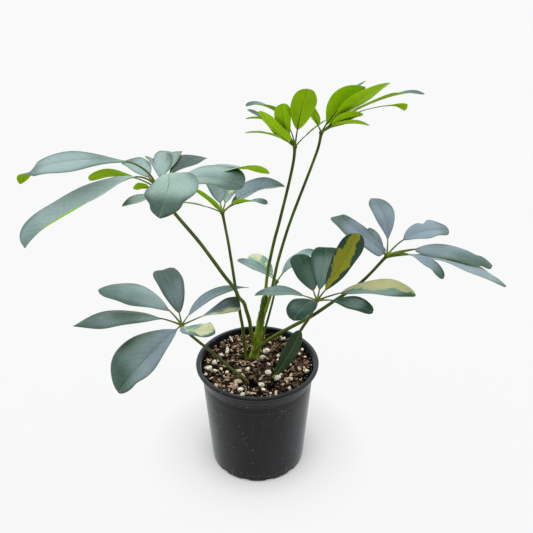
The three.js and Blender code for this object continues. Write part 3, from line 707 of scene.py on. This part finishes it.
def white_grains(material):
    chance, shape, edge = scattering("white_grains")
    grains = [(*grain, True) for grain in GRAINS]
    while len(grains) < len(GRAINS) + LOOSE_GRAINS:
        x, y = random_spot(chance, edge)
        if clear_of_stems(x, y, STEM_CLEARANCE) and not in_hollow(x, y, 1):
            grains.append((x, y, chance.uniform(*LOOSE_GRAIN_SIZES), False))
    for x, y, size, large in grains:
        points, faces = ball(3 if large else 1)
        seed = Vector((chance.uniform(0, 90), 5, 1))
        stretch = np.array([chance.uniform(0.8, 1.1), chance.uniform(0.75, 1.05), chance.uniform(0.7, 0.9)])
        points = np.sign(points) * np.abs(points) ** 0.75
        rough = []
        for point in points:
            wide = noise.noise(Vector(point * 1.3) + seed)
            fine = noise.noise(Vector(point * 3.5) + seed)
            pit = max(0, noise.noise(Vector(point * 2.4) + 2 * seed) - 0.15)
            rough.append(1 + 0.4 * wide + 0.16 * fine - 0.4 * pit)
        points = points * np.array(rough)[:, None] * stretch * size / 2
        points = turned(points, chance.uniform(0, 360), chance.uniform(-30, 30), 0)
        z = soil_height(x, y) + (0.2 * size + 0.6 if large else chance.uniform(0.2, 1.6))
        shape.add(points + (x, y, z), faces, 0, (x, y, 0, 0, 0, chance.random()))
    shape.build("white_grains", "soil_bark", [material])


def crumbs(material):
    chance, shape, edge = scattering("crumbs")
    points, faces = ball(1)
    for _ in range(CRUMBS):
        x, y = random_spot(chance, edge)
        size = chance.choice(CRUMB_SIZES)
        jitter = np.array([[chance.uniform(0.6, 1.1)] for _ in points])
        lump = points * jitter * np.array([1, chance.uniform(0.5, 1), chance.uniform(0.4, 0.9)]) * size / 2
        lump = turned(lump, chance.uniform(0, 360), chance.uniform(-40, 40), 0)
        z = soil_height(x, y) + chance.uniform(0.2, 1.3)
        shape.add(lump + (x, y, z), faces, 0, (x, y, 0, 0, 0, chance.random() ** 1.5))
    shape.build("crumbs", "soil_bark", [material], smooth=False)


def fibres(material):
    chance, shape, edge = scattering("fibres")
    for _ in range(FIBRES):
        x, y = random_spot(chance, edge)
        if in_hollow(x, y, 2):
            continue
        length = chance.uniform(2, 7)
        heading = chance.uniform(0, 2 * math.pi)
        bow = chance.uniform(-0.3, 0.3)
        line = []
        for t in np.linspace(-0.5, 0.5, 6):
            a = x + length * (t * math.cos(heading) - bow * t * t * 4 * math.sin(heading))
            b = y + length * (t * math.sin(heading) + bow * t * t * 4 * math.cos(heading))
            line.append((a, b, soil_height(x, y) + 1.4 + chance.uniform(-0.7, 0.6)))
        radii = np.array(FIBRE_RADII) * chance.uniform(0.6, 1.5)
        tube(shape, np.array(line), radii, FIBRE_SIDES, 0, chance.random())
    shape.build("fibres", "soil_bark", [material])


# Pot.
def rounded(corners):
    """The outline with each corner (radius, height, rounding) cut to a short curve."""
    outline = []
    for before, corner, after in zip([corners[0], *corners], corners, [*corners[1:], corners[-1]]):
        here = np.array(corner[:2], float)
        if not corner[2]:
            outline.append(here)
            continue
        start = here + unit(np.array(before[:2]) - here) * corner[2]
        end = here + unit(np.array(after[:2]) - here) * corner[2]
        for t in np.linspace(0, 1, 5):
            outline.append((1 - t) ** 2 * start + 2 * t * (1 - t) * here + t * t * end)
    return outline


def pot(material):
    """The pot, turned from one outline, with the foot cut back at its notches."""
    waist, low = WAIST_RADIUS, COLLAR_BOTTOM
    at_notch = mixed(BASE_RADIUS, waist, NOTCH_HEIGHT / low)
    corners = [
        (POT_MIDDLE, 0, 0), (BASE_RADIUS - 1.5, 0, 0), (BASE_RADIUS, 1.5, 0), (at_notch, NOTCH_HEIGHT, 0),
        *((mixed(BASE_RADIUS, waist, share), low * share, 0) for share in (0.2, 0.4, 0.6, 0.8)),
        (waist - 0.05, low - 0.9, 0.15), (waist - 0.3, low - 0.5, 0.15), (waist + 0.5, low + 0.1, 0.2),
        (waist + COLLAR_STEP + 0.1, low + 1, 0.3),
        (mixed(waist + 0.8, NECK_RADIUS, 0.5), mixed(low, NECK_LEVEL, 0.55), 0),
        (NECK_RADIUS, NECK_LEVEL, 0.5), (RIM_RADIUS - 0.6, POT_HEIGHT - LIP_HEIGHT, 0.8),
        (RIM_RADIUS, POT_HEIGHT - 1.6, 1), (RIM_RADIUS - 1.1, POT_HEIGHT, 0.9),
        (RIM_RADIUS - LIP_WIDTH, POT_HEIGHT, 0.9), (NECK_RADIUS - POT_WALL, NECK_LEVEL, 0.8),
        (waist - POT_WALL, low, 0.6), (FLOOR_RADIUS, BASE_THICKNESS, 0.8), (POT_MIDDLE, BASE_THICKNESS, 0),
    ]
    outline = rounded(corners)
    half_notch = NOTCH_WIDTH / 2 / BASE_RADIUS
    sector = 2 * math.pi / FOOT_NOTCHES
    columns = []
    for i in range(FOOT_NOTCHES):
        middle = (i + 0.5) * sector
        columns += [(middle + t, False) for t in np.linspace(-sector / 2, -half_notch, 8)]
        columns += [(middle + t, True) for t in np.linspace(-half_notch, half_notch, 7)]
        columns += [(middle + t, False) for t in np.linspace(half_notch, sector / 2, 8)[:-1]]
    back = BASE_RADIUS - NOTCH_DEPTH
    points = []
    for radius, height in outline:
        for turn, cut in columns:
            r, z = radius, height
            if cut and r > back and z < NOTCH_HEIGHT:
                r, z = back, NOTCH_HEIGHT if z > 1 else z
            uneven = 1 + 0.0012 * math.sin(3 * turn + 0.03 * z) + 0.0008 * math.sin(7 * turn - 0.05 * z)
            points.append((r * uneven * math.cos(turn), r * uneven * math.sin(turn), z))
    shape = Shape()
    shape.add(points, closed_faces(len(outline), len(columns)))
    piece = shape.build("pot_fine", "pot_plastic", [material], ["pot"])
    tidy_mesh(piece.data)
    piece.data.set_sharp_from_angle(angle=math.radians(SHARP_ANGLE))


def tidy_mesh(mesh):
    """Joins points that lie on one another, and drops the faces that this closes up."""
    made = bmesh.new()
    made.from_mesh(mesh)
    bmesh.ops.remove_doubles(made, verts=made.verts, dist=1e-6)
    bmesh.ops.recalc_face_normals(made, faces=made.faces)
    made.to_mesh(mesh)
    made.free()


# Colours, as linear light.
# Painted sheen on leaf tops, in colours that stand in for the grey-blue reflection of the bright sky.
PAINTED_SHEEN_GREEN = (0.215, 0.26, 0.21)
PAINTED_SHEEN_GREY = (0.185, 0.215, 0.203)
PAINTED_SHEEN_DULL = (0.165, 0.205, 0.165)
PAINTED_SHEEN_BLUE = (0.148, 0.158, 0.197)
LEAF_DEEP = (0.01, 0.03, 0.013)
LEAF_BLUE = (0.018, 0.046, 0.03)
LEAF_GREY = (0.14, 0.22, 0.13)
LEAF_CREAM = (0.41, 0.345, 0.19)
LEAF_YELLOW = (0.15, 0.13, 0.001)
LEAF_VEIN = (0.13, 0.22, 0.09)
LEAF_MARGIN = (0.045, 0.05, 0.02)
YOUNG_DEEP = (0.02, 0.045, 0.006)
YOUNG_BRIGHT = (0.034, 0.07, 0.01)
UNDER_DEEP = (0.21, 0.37, 0.003)
UNDER_BRIGHT = (0.31, 0.54, 0.004)
UNDER_VEIN = (0.34, 0.47, 0.02)
STEM_CORK = (0.38, 0.36, 0.14)
STEM_LOW = (0.13, 0.17, 0.01)
STEM_MIDDLE = (0.042, 0.07, 0.004)
STEM_HIGH = (0.05, 0.072, 0.006)
STEM_BROWN = (0.075, 0.06, 0.018)
GRAIN_WHITE = (0.88, 0.74, 0.62)
GRAIN_CREAM = (0.74, 0.57, 0.43)
GRAIN_SOILED = (0.2, 0.13, 0.07)
POT_BLACK = (0.003, 0.003, 0.004)
POT_DUSTY = (0.012, 0.012, 0.0145)
POT_SCRATCH_AND_HIGHLIGHT = (0.16, 0.16, 0.165)
POT_SPECK = (0.45, 0.42, 0.38)
POT_SOILED = (0.3, 0.17, 0.08)
# Lines round the pot, as (level, strength): the strongest, at the foot of the collar, is a painted
# highlight along its crease, and the rest are faint lines left by its mould. Scratches are the edges of
# large wobbling cells, as (turn, scale, width), and dots are small cells, as (scale, size, how rarely one
# is kept, colour, only low down). The wobble, and the levels between which splashes fade, are metres.
POT_LINES = [(98.6, 0.9), (105.5, 0.3), (91, 0.25), (8, 0.3)]
POT_SCRATCHES = [((35, 50, 20), 27.0, 0.006), ((70, 10, 50), 33.0, 0.005), ((130, 60, 0), 17.0, 0.0045)]
SCRATCH_WOBBLE = (0.008, 0.008, 0.008)
POT_DOTS = [
    (230.0, 0.14, 0.95, POT_SPECK, False), (430.0, 0.2, 0.965, POT_SPECK, False),
    (520.0, 0.45, 0.7, POT_SOILED, True),
]
SPLASH_LEVELS = (0.002, 0.02)
BARK_TONES = [
    (0.0, (0.008, 0.004, 0.003)), (0.3, (0.02, 0.009, 0.006)), (0.55, (0.08, 0.037, 0.022)),
    (0.78, (0.26, 0.14, 0.09)), (1.0, (0.6, 0.41, 0.29)),
]
CRUMB_TONES = [
    (0.0, (0.003, 0.002, 0.0015)), (0.45, (0.012, 0.007, 0.005)),
    (0.8, (0.09, 0.052, 0.034)), (1.0, (0.3, 0.21, 0.15)),
]
SOIL_TONES = [(0.0, (0.003, 0.002, 0.0015)), (0.5, (0.012, 0.007, 0.005)), (1.0, (0.04, 0.024, 0.016))]

# Soft lights as (direction, sharpness, strength), over an even ambient light.
SOFT_LIGHTS = [
    ((0, 0.4, 0.92), 2.5, 4.2),
    ((0, -0.6, 0.8), 4, 0.2),
    ((-1, 0, 0.2), 6, 4),
    ((1, 0, 0.2), 6, 3.8),
]
AMBIENT = (0.22, 0.22, 0.22)
SKY_TINT = (0.78, 0.95, 1)
FLOOR_REACH = 12
FLOOR_PALE = (0.03, 0.027, 0.025)
FLOOR_PALER = (0.031, 0.028, 0.026)
FLOOR_GLOW = (0.88, 0.885, 0.88)
# Painted shade on the floor round the pot, leaning to the back, and a darker painted line where they touch:
# ambient occlusion dims the floor's glow there.
# These lengths, and the floor's reach, are metres.
FLOOR_SHADE = 0.7
FLOOR_SHADE_REACH = 0.07
SHADE_LEAN = (0.0, -0.45, 0.9)
CONTACT_SHADE = 0.26
CONTACT_REACH = 0.025

CAMERA_PLACE = (8.8, -607.8, 570.2)
CAMERA_PITCH = 30
FOCAL_LENGTH = 52.68
SENSOR_WIDTH = 36


class Value:
    """A node's output, open to sums and products."""

    def __init__(self, nodes, socket):
        self.nodes = nodes
        self.socket = socket

    def __add__(self, other):
        return self.nodes.maths("ADD", self, other)

    def __sub__(self, other):
        return self.nodes.maths("SUBTRACT", self, other)

    def __rsub__(self, other):
        return self.nodes.maths("SUBTRACT", other, self)

    def __mul__(self, other):
        return self.nodes.maths("MULTIPLY", self, other)

    def __abs__(self):
        return self.nodes.maths("ABSOLUTE", self)

    __radd__ = __add__


class Nodes:
    """A node tree, added to by short calls. An input is a number, a colour or the Value of another node."""

    def __init__(self, tree):
        self.tree = tree

    def feed(self, socket, value):
        if isinstance(value, Value):
            self.tree.links.new(value.socket, socket)
        elif isinstance(value, tuple) and len(value) == 3 and socket.type == "RGBA":
            socket.default_value = (*value, 1)
        else:
            socket.default_value = value

    def node(self, kind, inputs, output=0, **settings):
        node = self.tree.nodes.new("ShaderNode" + kind)
        for key, value in settings.items():
            setattr(node, key, value)
        for key, value in inputs.items():
            self.feed(node.inputs[key], value)
        return Value(self, node.outputs[output])

    def numbers(self, *names):
        """Numbers that the mesh carries at each point."""
        return [self.node("Attribute", {}, "Fac", attribute_name=name) for name in names]

    def maths(self, operation, a, b=0.0):
        return self.node("Math", {0: a, 1: b}, operation=operation)

    def step(self, value, low, high, to_low=0.0, to_high=1.0):
        """Eases from to_low to to_high as value goes from low to high."""
        inputs = {"Value": value, "From Min": low, "From Max": high, "To Min": to_low, "To Max": to_high}
        return self.node("MapRange", inputs, interpolation_type="SMOOTHSTEP")

    def fade(self, value, low, high):
        """Eases from 1 to 0 as value goes from low to high."""
        return self.step(value, low, high, 1.0, 0.0)

    def place(self, scale=(1, 1, 1), turn=(0, 0, 0)):
        """A point's own place in metres, stretched and turned."""
        spot = self.node("TexCoord", {}, "Object")
        angles = tuple(math.radians(angle) for angle in turn)
        return self.node("Mapping", {"Vector": spot, "Rotation": angles, "Scale": scale})

    def joined(self, x, y, z=0.0):
        return self.node("CombineXYZ", {0: x, 1: y, 2: z})

    def noise(self, vector, scale, detail=3.0, roughness=0.55):
        inputs = {"Vector": vector, "Scale": scale, "Detail": detail, "Roughness": roughness}
        return self.node("TexNoise", inputs)

    def cells(self, vector, scale, feature="F1", output="Distance"):
        return self.node("TexVoronoi", {"Vector": vector, "Scale": scale}, output, feature=feature)

    def mix(self, share, a, b):
        return self.node("Mix", {0: share, 6: a, 7: b}, 2, data_type="RGBA")

    def layers(self, colour, *layers):
        """The colour under layers, each (share, strength, colour)."""
        for share, strength, tint in layers:
            colour = self.mix(share * strength, colour, tint)
        return colour

    def brighter(self, colour, value):
        return self.node("HueSaturation", {"Color": colour, "Value": value})

    def ramp(self, value, *stops):
        """A colour for value from (place, colour) stops."""
        node = self.tree.nodes.new("ShaderNodeValToRGB")
        self.feed(node.inputs[0], value)
        points = node.color_ramp.elements
        while len(points) < len(stops):
            points.new(0.5)
        for point, (place, colour) in zip(points, stops):
            point.position = place
            point.color = (*colour, 1)
        return Value(self, node.outputs[0])


class Paint(Nodes):
    """A material, made from the nodes that feed its shader."""

    def __init__(self, name):
        self.material = bpy.data.materials.new(name)
        self.material.use_nodes = True
        super().__init__(self.material.node_tree)
        self.shader = self.tree.nodes["Principled BSDF"]

    def finish(self, colour, roughness, height=None, depth=None, **constants):
        """Feeds the shader. height is the relief of the surface, and depth its size in metres."""
        self.feed(self.shader.inputs["Base Color"], colour)
        self.feed(self.shader.inputs["Roughness"], roughness)
        for name, value in constants.items():
            self.feed(self.shader.inputs[name.replace("_", " ")], value)
        if height is not None:
            relief = self.node("Bump", {"Height": height, "Distance": depth, "Strength": 1.0})
            self.feed(self.shader.inputs["Normal"], relief)
        return self.material


def veins(paint):
    """Shares of a side vein, of the midrib and of the fine net between them, at each place on a blade, then
    the place itself, laid flat, and its share of the way to the margin."""
    along, across, margin, tone = paint.numbers("along", "across", "margin", "tone")
    reach = abs(across)
    flat = paint.joined(along, across, tone)
    left = paint.maths("GREATER_THAN", across)
    wander = (paint.noise(flat, 0.16) - 0.5) * 2.2
    place = along + reach * -VEIN_SLANT + reach * reach * -VEIN_BEND + left * VEIN_STAGGER + wander
    beside = paint.maths("PINGPONG", place, VEIN_SPACING / 2)
    side = paint.fade(beside, 0.1, 0.5) * paint.fade(margin, 0.55, 0.95)
    net = paint.fade(paint.cells(flat, 0.75, "DISTANCE_TO_EDGE"), 0.0, 0.09)
    return side, paint.fade(reach, 0.15, 0.75), net, flat, margin


def splash_shares(paint, flat):
    """Shares of grey-green and of cream in a blade's pale patches, with ragged edges along its veins."""
    along, across, pale = paint.numbers("along", "across", "pale")
    reach = abs(across)
    away = paint.joined(along + reach * -VEIN_SLANT, reach * 0.18, paint.maths("SIGN", across) * 9.0)
    ragged = paint.noise(away, 0.16, 3.0, 0.6) + paint.noise(flat, 0.05, 1.0)
    pale = pale + (ragged - 1.0) * 1.2
    return paint.step(pale, 0.3, 0.4), paint.step(pale, 0.46, 0.54)


def blade_top(name, deep, blue, gloss, painted_sheen, sheen_colour, other_sheen_colour):
    """The waxy upper face of a blade, with patches of painted grey sheen that fade away at its end and
    margins.
    """
    paint = Paint(name)
    side, middle, net, flat, margin = veins(paint)
    spot = paint.place()
    tone, end, gold = paint.numbers("tone", "end", "gold")
    shade = 1.0 + tone * 0.35 + (paint.noise(spot, 28.0) - 0.5) * 0.55
    # The painted sheen fades towards the blade's end and margins, where it curves away from the light, and
    # where its tone is low.
    sheen_fade = paint.step(end, 0.6, 1.0) * 0.34 + paint.step(margin, 0.6, 1.0) * 0.16 + tone * -0.25
    halfway, cream = splash_shares(paint, flat)
    # Over the base colour: painted sheen in patches, then the pale splash, the veins and the margin.
    colour = paint.layers(
        paint.brighter(paint.mix(paint.noise(spot, 60.0, 2.0), deep, blue), shade),
        (
            paint.step(paint.noise(spot, 21.0, 1.0) - sheen_fade, 0.16, 0.62),
            painted_sheen,
            paint.mix(paint.step(paint.noise(spot, 11.0), 0.4, 0.6), sheen_colour, other_sheen_colour),
        ),
        (halfway, 1.0 - gold, LEAF_GREY),
        (cream, 1.0, paint.mix(gold, LEAF_CREAM, LEAF_YELLOW)),
        (side, 0.07, LEAF_VEIN),
        (net, 0.05, LEAF_VEIN),
        (middle, 0.22, LEAF_VEIN),
        (paint.step(margin, 0.93, 1.0), 0.7, LEAF_MARGIN),
    )
    height = side * -0.6 + net * -0.25 + paint.noise(spot, 900.0) * 0.4
    roughness = paint.step(paint.noise(spot, 90.0), 0.2, 0.8, 0.3, 0.42)
    return paint.finish(colour, roughness, height, 0.00025, Specular_IOR_Level=gloss)


def blade_under(name):
    """The matt lower face of a blade, in the bright green of a leaf with light behind it."""
    paint = Paint(name)
    side, middle, net, flat, margin = veins(paint)
    spot = paint.place()
    [tone] = paint.numbers("tone")
    shade = 1.0 + tone * 0.3 + (paint.noise(spot, 35.0) - 0.5) * 0.45
    halfway, cream = splash_shares(paint, flat)
    colour = paint.layers(
        paint.brighter(paint.mix(paint.noise(spot, 45.0, 2.0), UNDER_DEEP, UNDER_BRIGHT), shade),
        (halfway, 1.0, LEAF_GREY),
        (cream, 1.0, LEAF_YELLOW),
        (side, 0.22, UNDER_VEIN),
        (net, 0.1, UNDER_DEEP),
        (middle, 0.5, UNDER_VEIN),
        (paint.step(margin, 0.94, 1.0), 0.35, UNDER_DEEP),
    )
    height = side * 0.8 + net * 0.2 + paint.noise(spot, 700.0) * 0.1
    return paint.finish(colour, 0.6, height, 0.00008, Specular_IOR_Level=0.03)


def stem_skin(name, low, middle, high):
    """Smooth green bark with fine streaks and pale corky dots, from low at its foot to high at its end."""
    paint = Paint(name)
    along, around, share, brown, tone = paint.numbers("along", "across", "margin", "gold", "tone")
    streaks = paint.noise(paint.joined(along * 0.035, around * 0.4), 1.0, 3.0, 0.6)
    patches = paint.noise(paint.place(), 70.0, 3.0)
    shade = 0.3 + paint.step(streaks, 0.38, 0.62) * 0.9 + paint.step(patches, 0.3, 0.7) * 0.4 + tone * 0.2
    corky = paint.cells(paint.joined(along * 0.45, around), 0.27)
    colour = paint.layers(
        paint.brighter(paint.ramp(share, (0.0, low), (0.4, middle), (1.0, high)), shade),
        (brown, 0.6, STEM_BROWN),
        (paint.fade(corky, 0.06, 0.12), 0.12, STEM_CORK),
    )
    height = streaks + paint.fade(corky, 0.04, 0.14) * 0.3
    roughness = paint.step(patches, 0.3, 0.7, 0.36, 0.52)
    return paint.finish(colour, roughness, height, 0.0001, Specular_IOR_Level=0.1)


def bark_skin(name, tones):
    """Broken bark, fibre or soil: each bit has its own tone, with grain, blotches and pits."""
    paint = Paint(name)
    [tone] = paint.numbers("tone")
    spot = paint.place()
    grain = paint.noise(paint.place((1, 1, 2.5)), 900.0, 4.0, 0.65)
    blotch = paint.noise(spot, 260.0, 3.0)
    colour = paint.ramp(tone + (blotch - 0.5) * 0.5, *tones)
    colour = paint.brighter(colour, 0.45 + grain + blotch * 0.2)
    height = grain + paint.cells(spot, 1100.0) * 0.6
    return paint.finish(colour, 0.85, height, 0.0006, Specular_IOR_Level=0.03)


def grain_skin():
    """Puffed white mineral: chalky, pitted, a little soiled, with painted shade darkening its pits."""
    paint = Paint("white_grain")
    spot = paint.place()
    pits = paint.cells(spot, 1500.0)
    soiled = paint.step(paint.noise(spot, 420.0, 4.0), 0.5, 0.72)
    colour = paint.mix(paint.noise(spot, 500.0), GRAIN_WHITE, GRAIN_CREAM)
    colour = paint.layers(colour, (soiled, 0.65, GRAIN_SOILED))
    # Painted shade: the colour is darker in the pits.
    colour = paint.brighter(colour, paint.step(pits, 0.0, 0.35, 0.72, 1.0))
    return paint.finish(colour, 0.8, pits, 0.0005, Specular_IOR_Level=0.3)


def pot_skin():
    """Black moulded plastic, dusty, with fine scratches, faint mould lines, a painted highlight along the
    crease under its collar, pale specks and soil splashed on its foot.
    """
    paint = Paint("pot_plastic")
    spot = paint.place()
    height = paint.node("SeparateXYZ", {0: spot}, 2)
    dust = paint.noise(paint.place((1, 1, 0.35)), 60.0, 5.0, 0.65)
    colour = paint.mix(paint.step(dust, 0.42, 0.75, 0.0, 0.55), POT_BLACK, POT_DUSTY)
    scratches = 0.0
    wobble = paint.node("TexNoise", {"Vector": spot, "Scale": 30.0}, "Color")
    for turn, scale, width in POT_SCRATCHES:
        cells = paint.place((1, 1, 0.6), turn)
        bent = paint.node("VectorMath", {0: wobble, 1: SCRATCH_WOBBLE, 2: cells}, operation="MULTIPLY_ADD")
        line = paint.fade(paint.cells(bent, scale, "DISTANCE_TO_EDGE"), 0.0, width)
        scratches = scratches + line * paint.step(paint.noise(cells, 45.0, 3.0), 0.5, 0.62)
    colour = paint.layers(colour, (scratches, 0.25, POT_SCRATCH_AND_HIGHLIGHT))
    for scale, size, keep, tint, low_down in POT_DOTS:
        dot = paint.fade(paint.cells(spot, scale), size * 0.6, size)
        chance = paint.node("SeparateColor", {0: paint.cells(spot, scale, "F1", "Color")}, 0)
        kept = paint.step(chance, keep, keep + 0.02)
        if low_down:
            kept = kept * paint.fade(height, *SPLASH_LEVELS)
        colour = paint.layers(colour, (dot * kept, 0.55, tint))
    # Faint mould lines, and at the collar's foot a painted highlight along its crease.
    for level, strength in POT_LINES:
        line = paint.fade(abs(height - level * MM), 0.0001, 0.0005)
        colour = paint.layers(colour, (line * paint.noise(spot, 40.0), strength, POT_SCRATCH_AND_HIGHLIGHT))
    roughness = paint.step(dust, 0.3, 0.7, 0.36, 0.5) + scratches * 0.1
    fine = paint.noise(spot, 1800.0) * 0.3 + scratches * -0.5
    gloss = {"Specular_IOR_Level": 0.2, "Specular_Tint": (1, 0.92, 0.95)}
    return paint.finish(colour, roughness, fine, 0.0001, **gloss, Sheen_Weight=0.42, Sheen_Roughness=0.3)


def stage_floor():
    """A plain pale floor, lit mostly by its own glow, with painted shade round the pot, where ambient
    occlusion dims that glow.
    """
    mesh = bpy.data.meshes.new("floor")
    corners = [(x * FLOOR_REACH, y * FLOOR_REACH, 0) for x, y in ((-1, -1), (1, -1), (1, 1), (-1, 1))]
    mesh.from_pydata(corners, [], [(0, 1, 2, 3)])
    floor = bpy.data.objects.new("floor", mesh)
    bpy.context.scene.collection.objects.link(floor)
    paint = Paint("floor_paint")
    colour = paint.mix(paint.noise(paint.place(), 3.0), FLOOR_PALE, FLOOR_PALER)
    around = {"Distance": FLOOR_SHADE_REACH, "Normal": paint.joined(*SHADE_LEAN)}
    # Painted shade: ambient occlusion near the pot dims the floor's glow, leaning to the back, darker at
    # its foot.
    nearby = paint.node("AmbientOcclusion", around, "AO", samples=12)
    contact = paint.node("AmbientOcclusion", {"Distance": CONTACT_REACH}, "AO", samples=8)
    glow = nearby * FLOOR_SHADE + contact * CONTACT_SHADE + (1 - FLOOR_SHADE - CONTACT_SHADE)
    light = {"Emission_Color": FLOOR_GLOW, "Emission_Strength": glow}
    mesh.materials.append(paint.finish(colour, 0.9, Specular_IOR_Level=0.0, **light))


def studio_light():
    """Soft light that is brightest high up at the back, over an even one."""
    world = bpy.data.worlds.new("studio")
    bpy.context.scene.world = world
    world.use_nodes = True
    sky = Nodes(world.node_tree)
    way = sky.node("TexCoord", {}, "Generated")
    total = 0
    for direction, sharpness, strength in SOFT_LIGHTS:
        aim = Vector(direction).normalized()
        along = sky.node("VectorMath", {0: way, 1: aim}, "Value", operation="DOT_PRODUCT")
        facing = sky.node("Clamp", {0: along})
        narrowed = sky.maths("POWER", facing, sharpness)
        total = sky.node("Math", {0: narrowed, 1: strength, 2: total}, operation="MULTIPLY_ADD")
    tinted = sky.node("VectorMath", {0: total, 1: SKY_TINT, 2: AMBIENT}, operation="MULTIPLY_ADD")
    sky.feed(sky.tree.nodes["Background"].inputs["Color"], tinted)


def camera():
    data = bpy.data.cameras.new("camera")
    data.sensor_width = SENSOR_WIDTH
    data.lens = FOCAL_LENGTH
    view = bpy.data.objects.new("camera", data)
    view.location = [value * MM for value in CAMERA_PLACE]
    view.rotation_euler = (math.radians(90 - CAMERA_PITCH), 0, 0)
    bpy.context.scene.collection.objects.link(view)
    bpy.context.scene.camera = view
    bpy.context.scene.view_settings.view_transform = "Standard"


def main():
    camera()
    stage_floor()
    studio_light()
    stem = stem_skin("stem_green", STEM_LOW, STEM_MIDDLE, STEM_HIGH)
    usual_top = blade_top("leaf_top", LEAF_DEEP, LEAF_BLUE, 0.3, 0.85, PAINTED_SHEEN_GREY, PAINTED_SHEEN_BLUE)
    under = blade_under("leaf_under")
    tops = {
        "young": blade_top("young_top", YOUNG_DEEP, YOUNG_BRIGHT, 0.25, 0.0, PAINTED_SHEEN_GREY, PAINTED_SHEEN_GREY),
        "lower_right": blade_top("splashed_top", LEAF_DEEP, LEAF_BLUE, 0.08, 0.65, PAINTED_SHEEN_DULL, PAINTED_SHEEN_GREY),
        "upper_left": blade_top("pale_top", LEAF_DEEP, LEAF_BLUE, 0.3, 0.9, PAINTED_SHEEN_GREEN, PAINTED_SHEEN_GREY),
    }
    for name, slot in LEAF_SLOTS.items():
        leaf(name, [tops.get(name, usual_top), under, stem], slot)
    trunk(stem_skin("trunk_green", STEM_LOW, STEM_LOW, STEM_MIDDLE))
    pot(pot_skin())
    soil(bark_skin("soil_dark", SOIL_TONES))
    bark_chips(bark_skin("bark", BARK_TONES))
    white_grains(grain_skin())
    crumbs(bark_skin("crumb", CRUMB_TONES))
    fibres(bark_skin("fibre", BARK_TONES))


main()
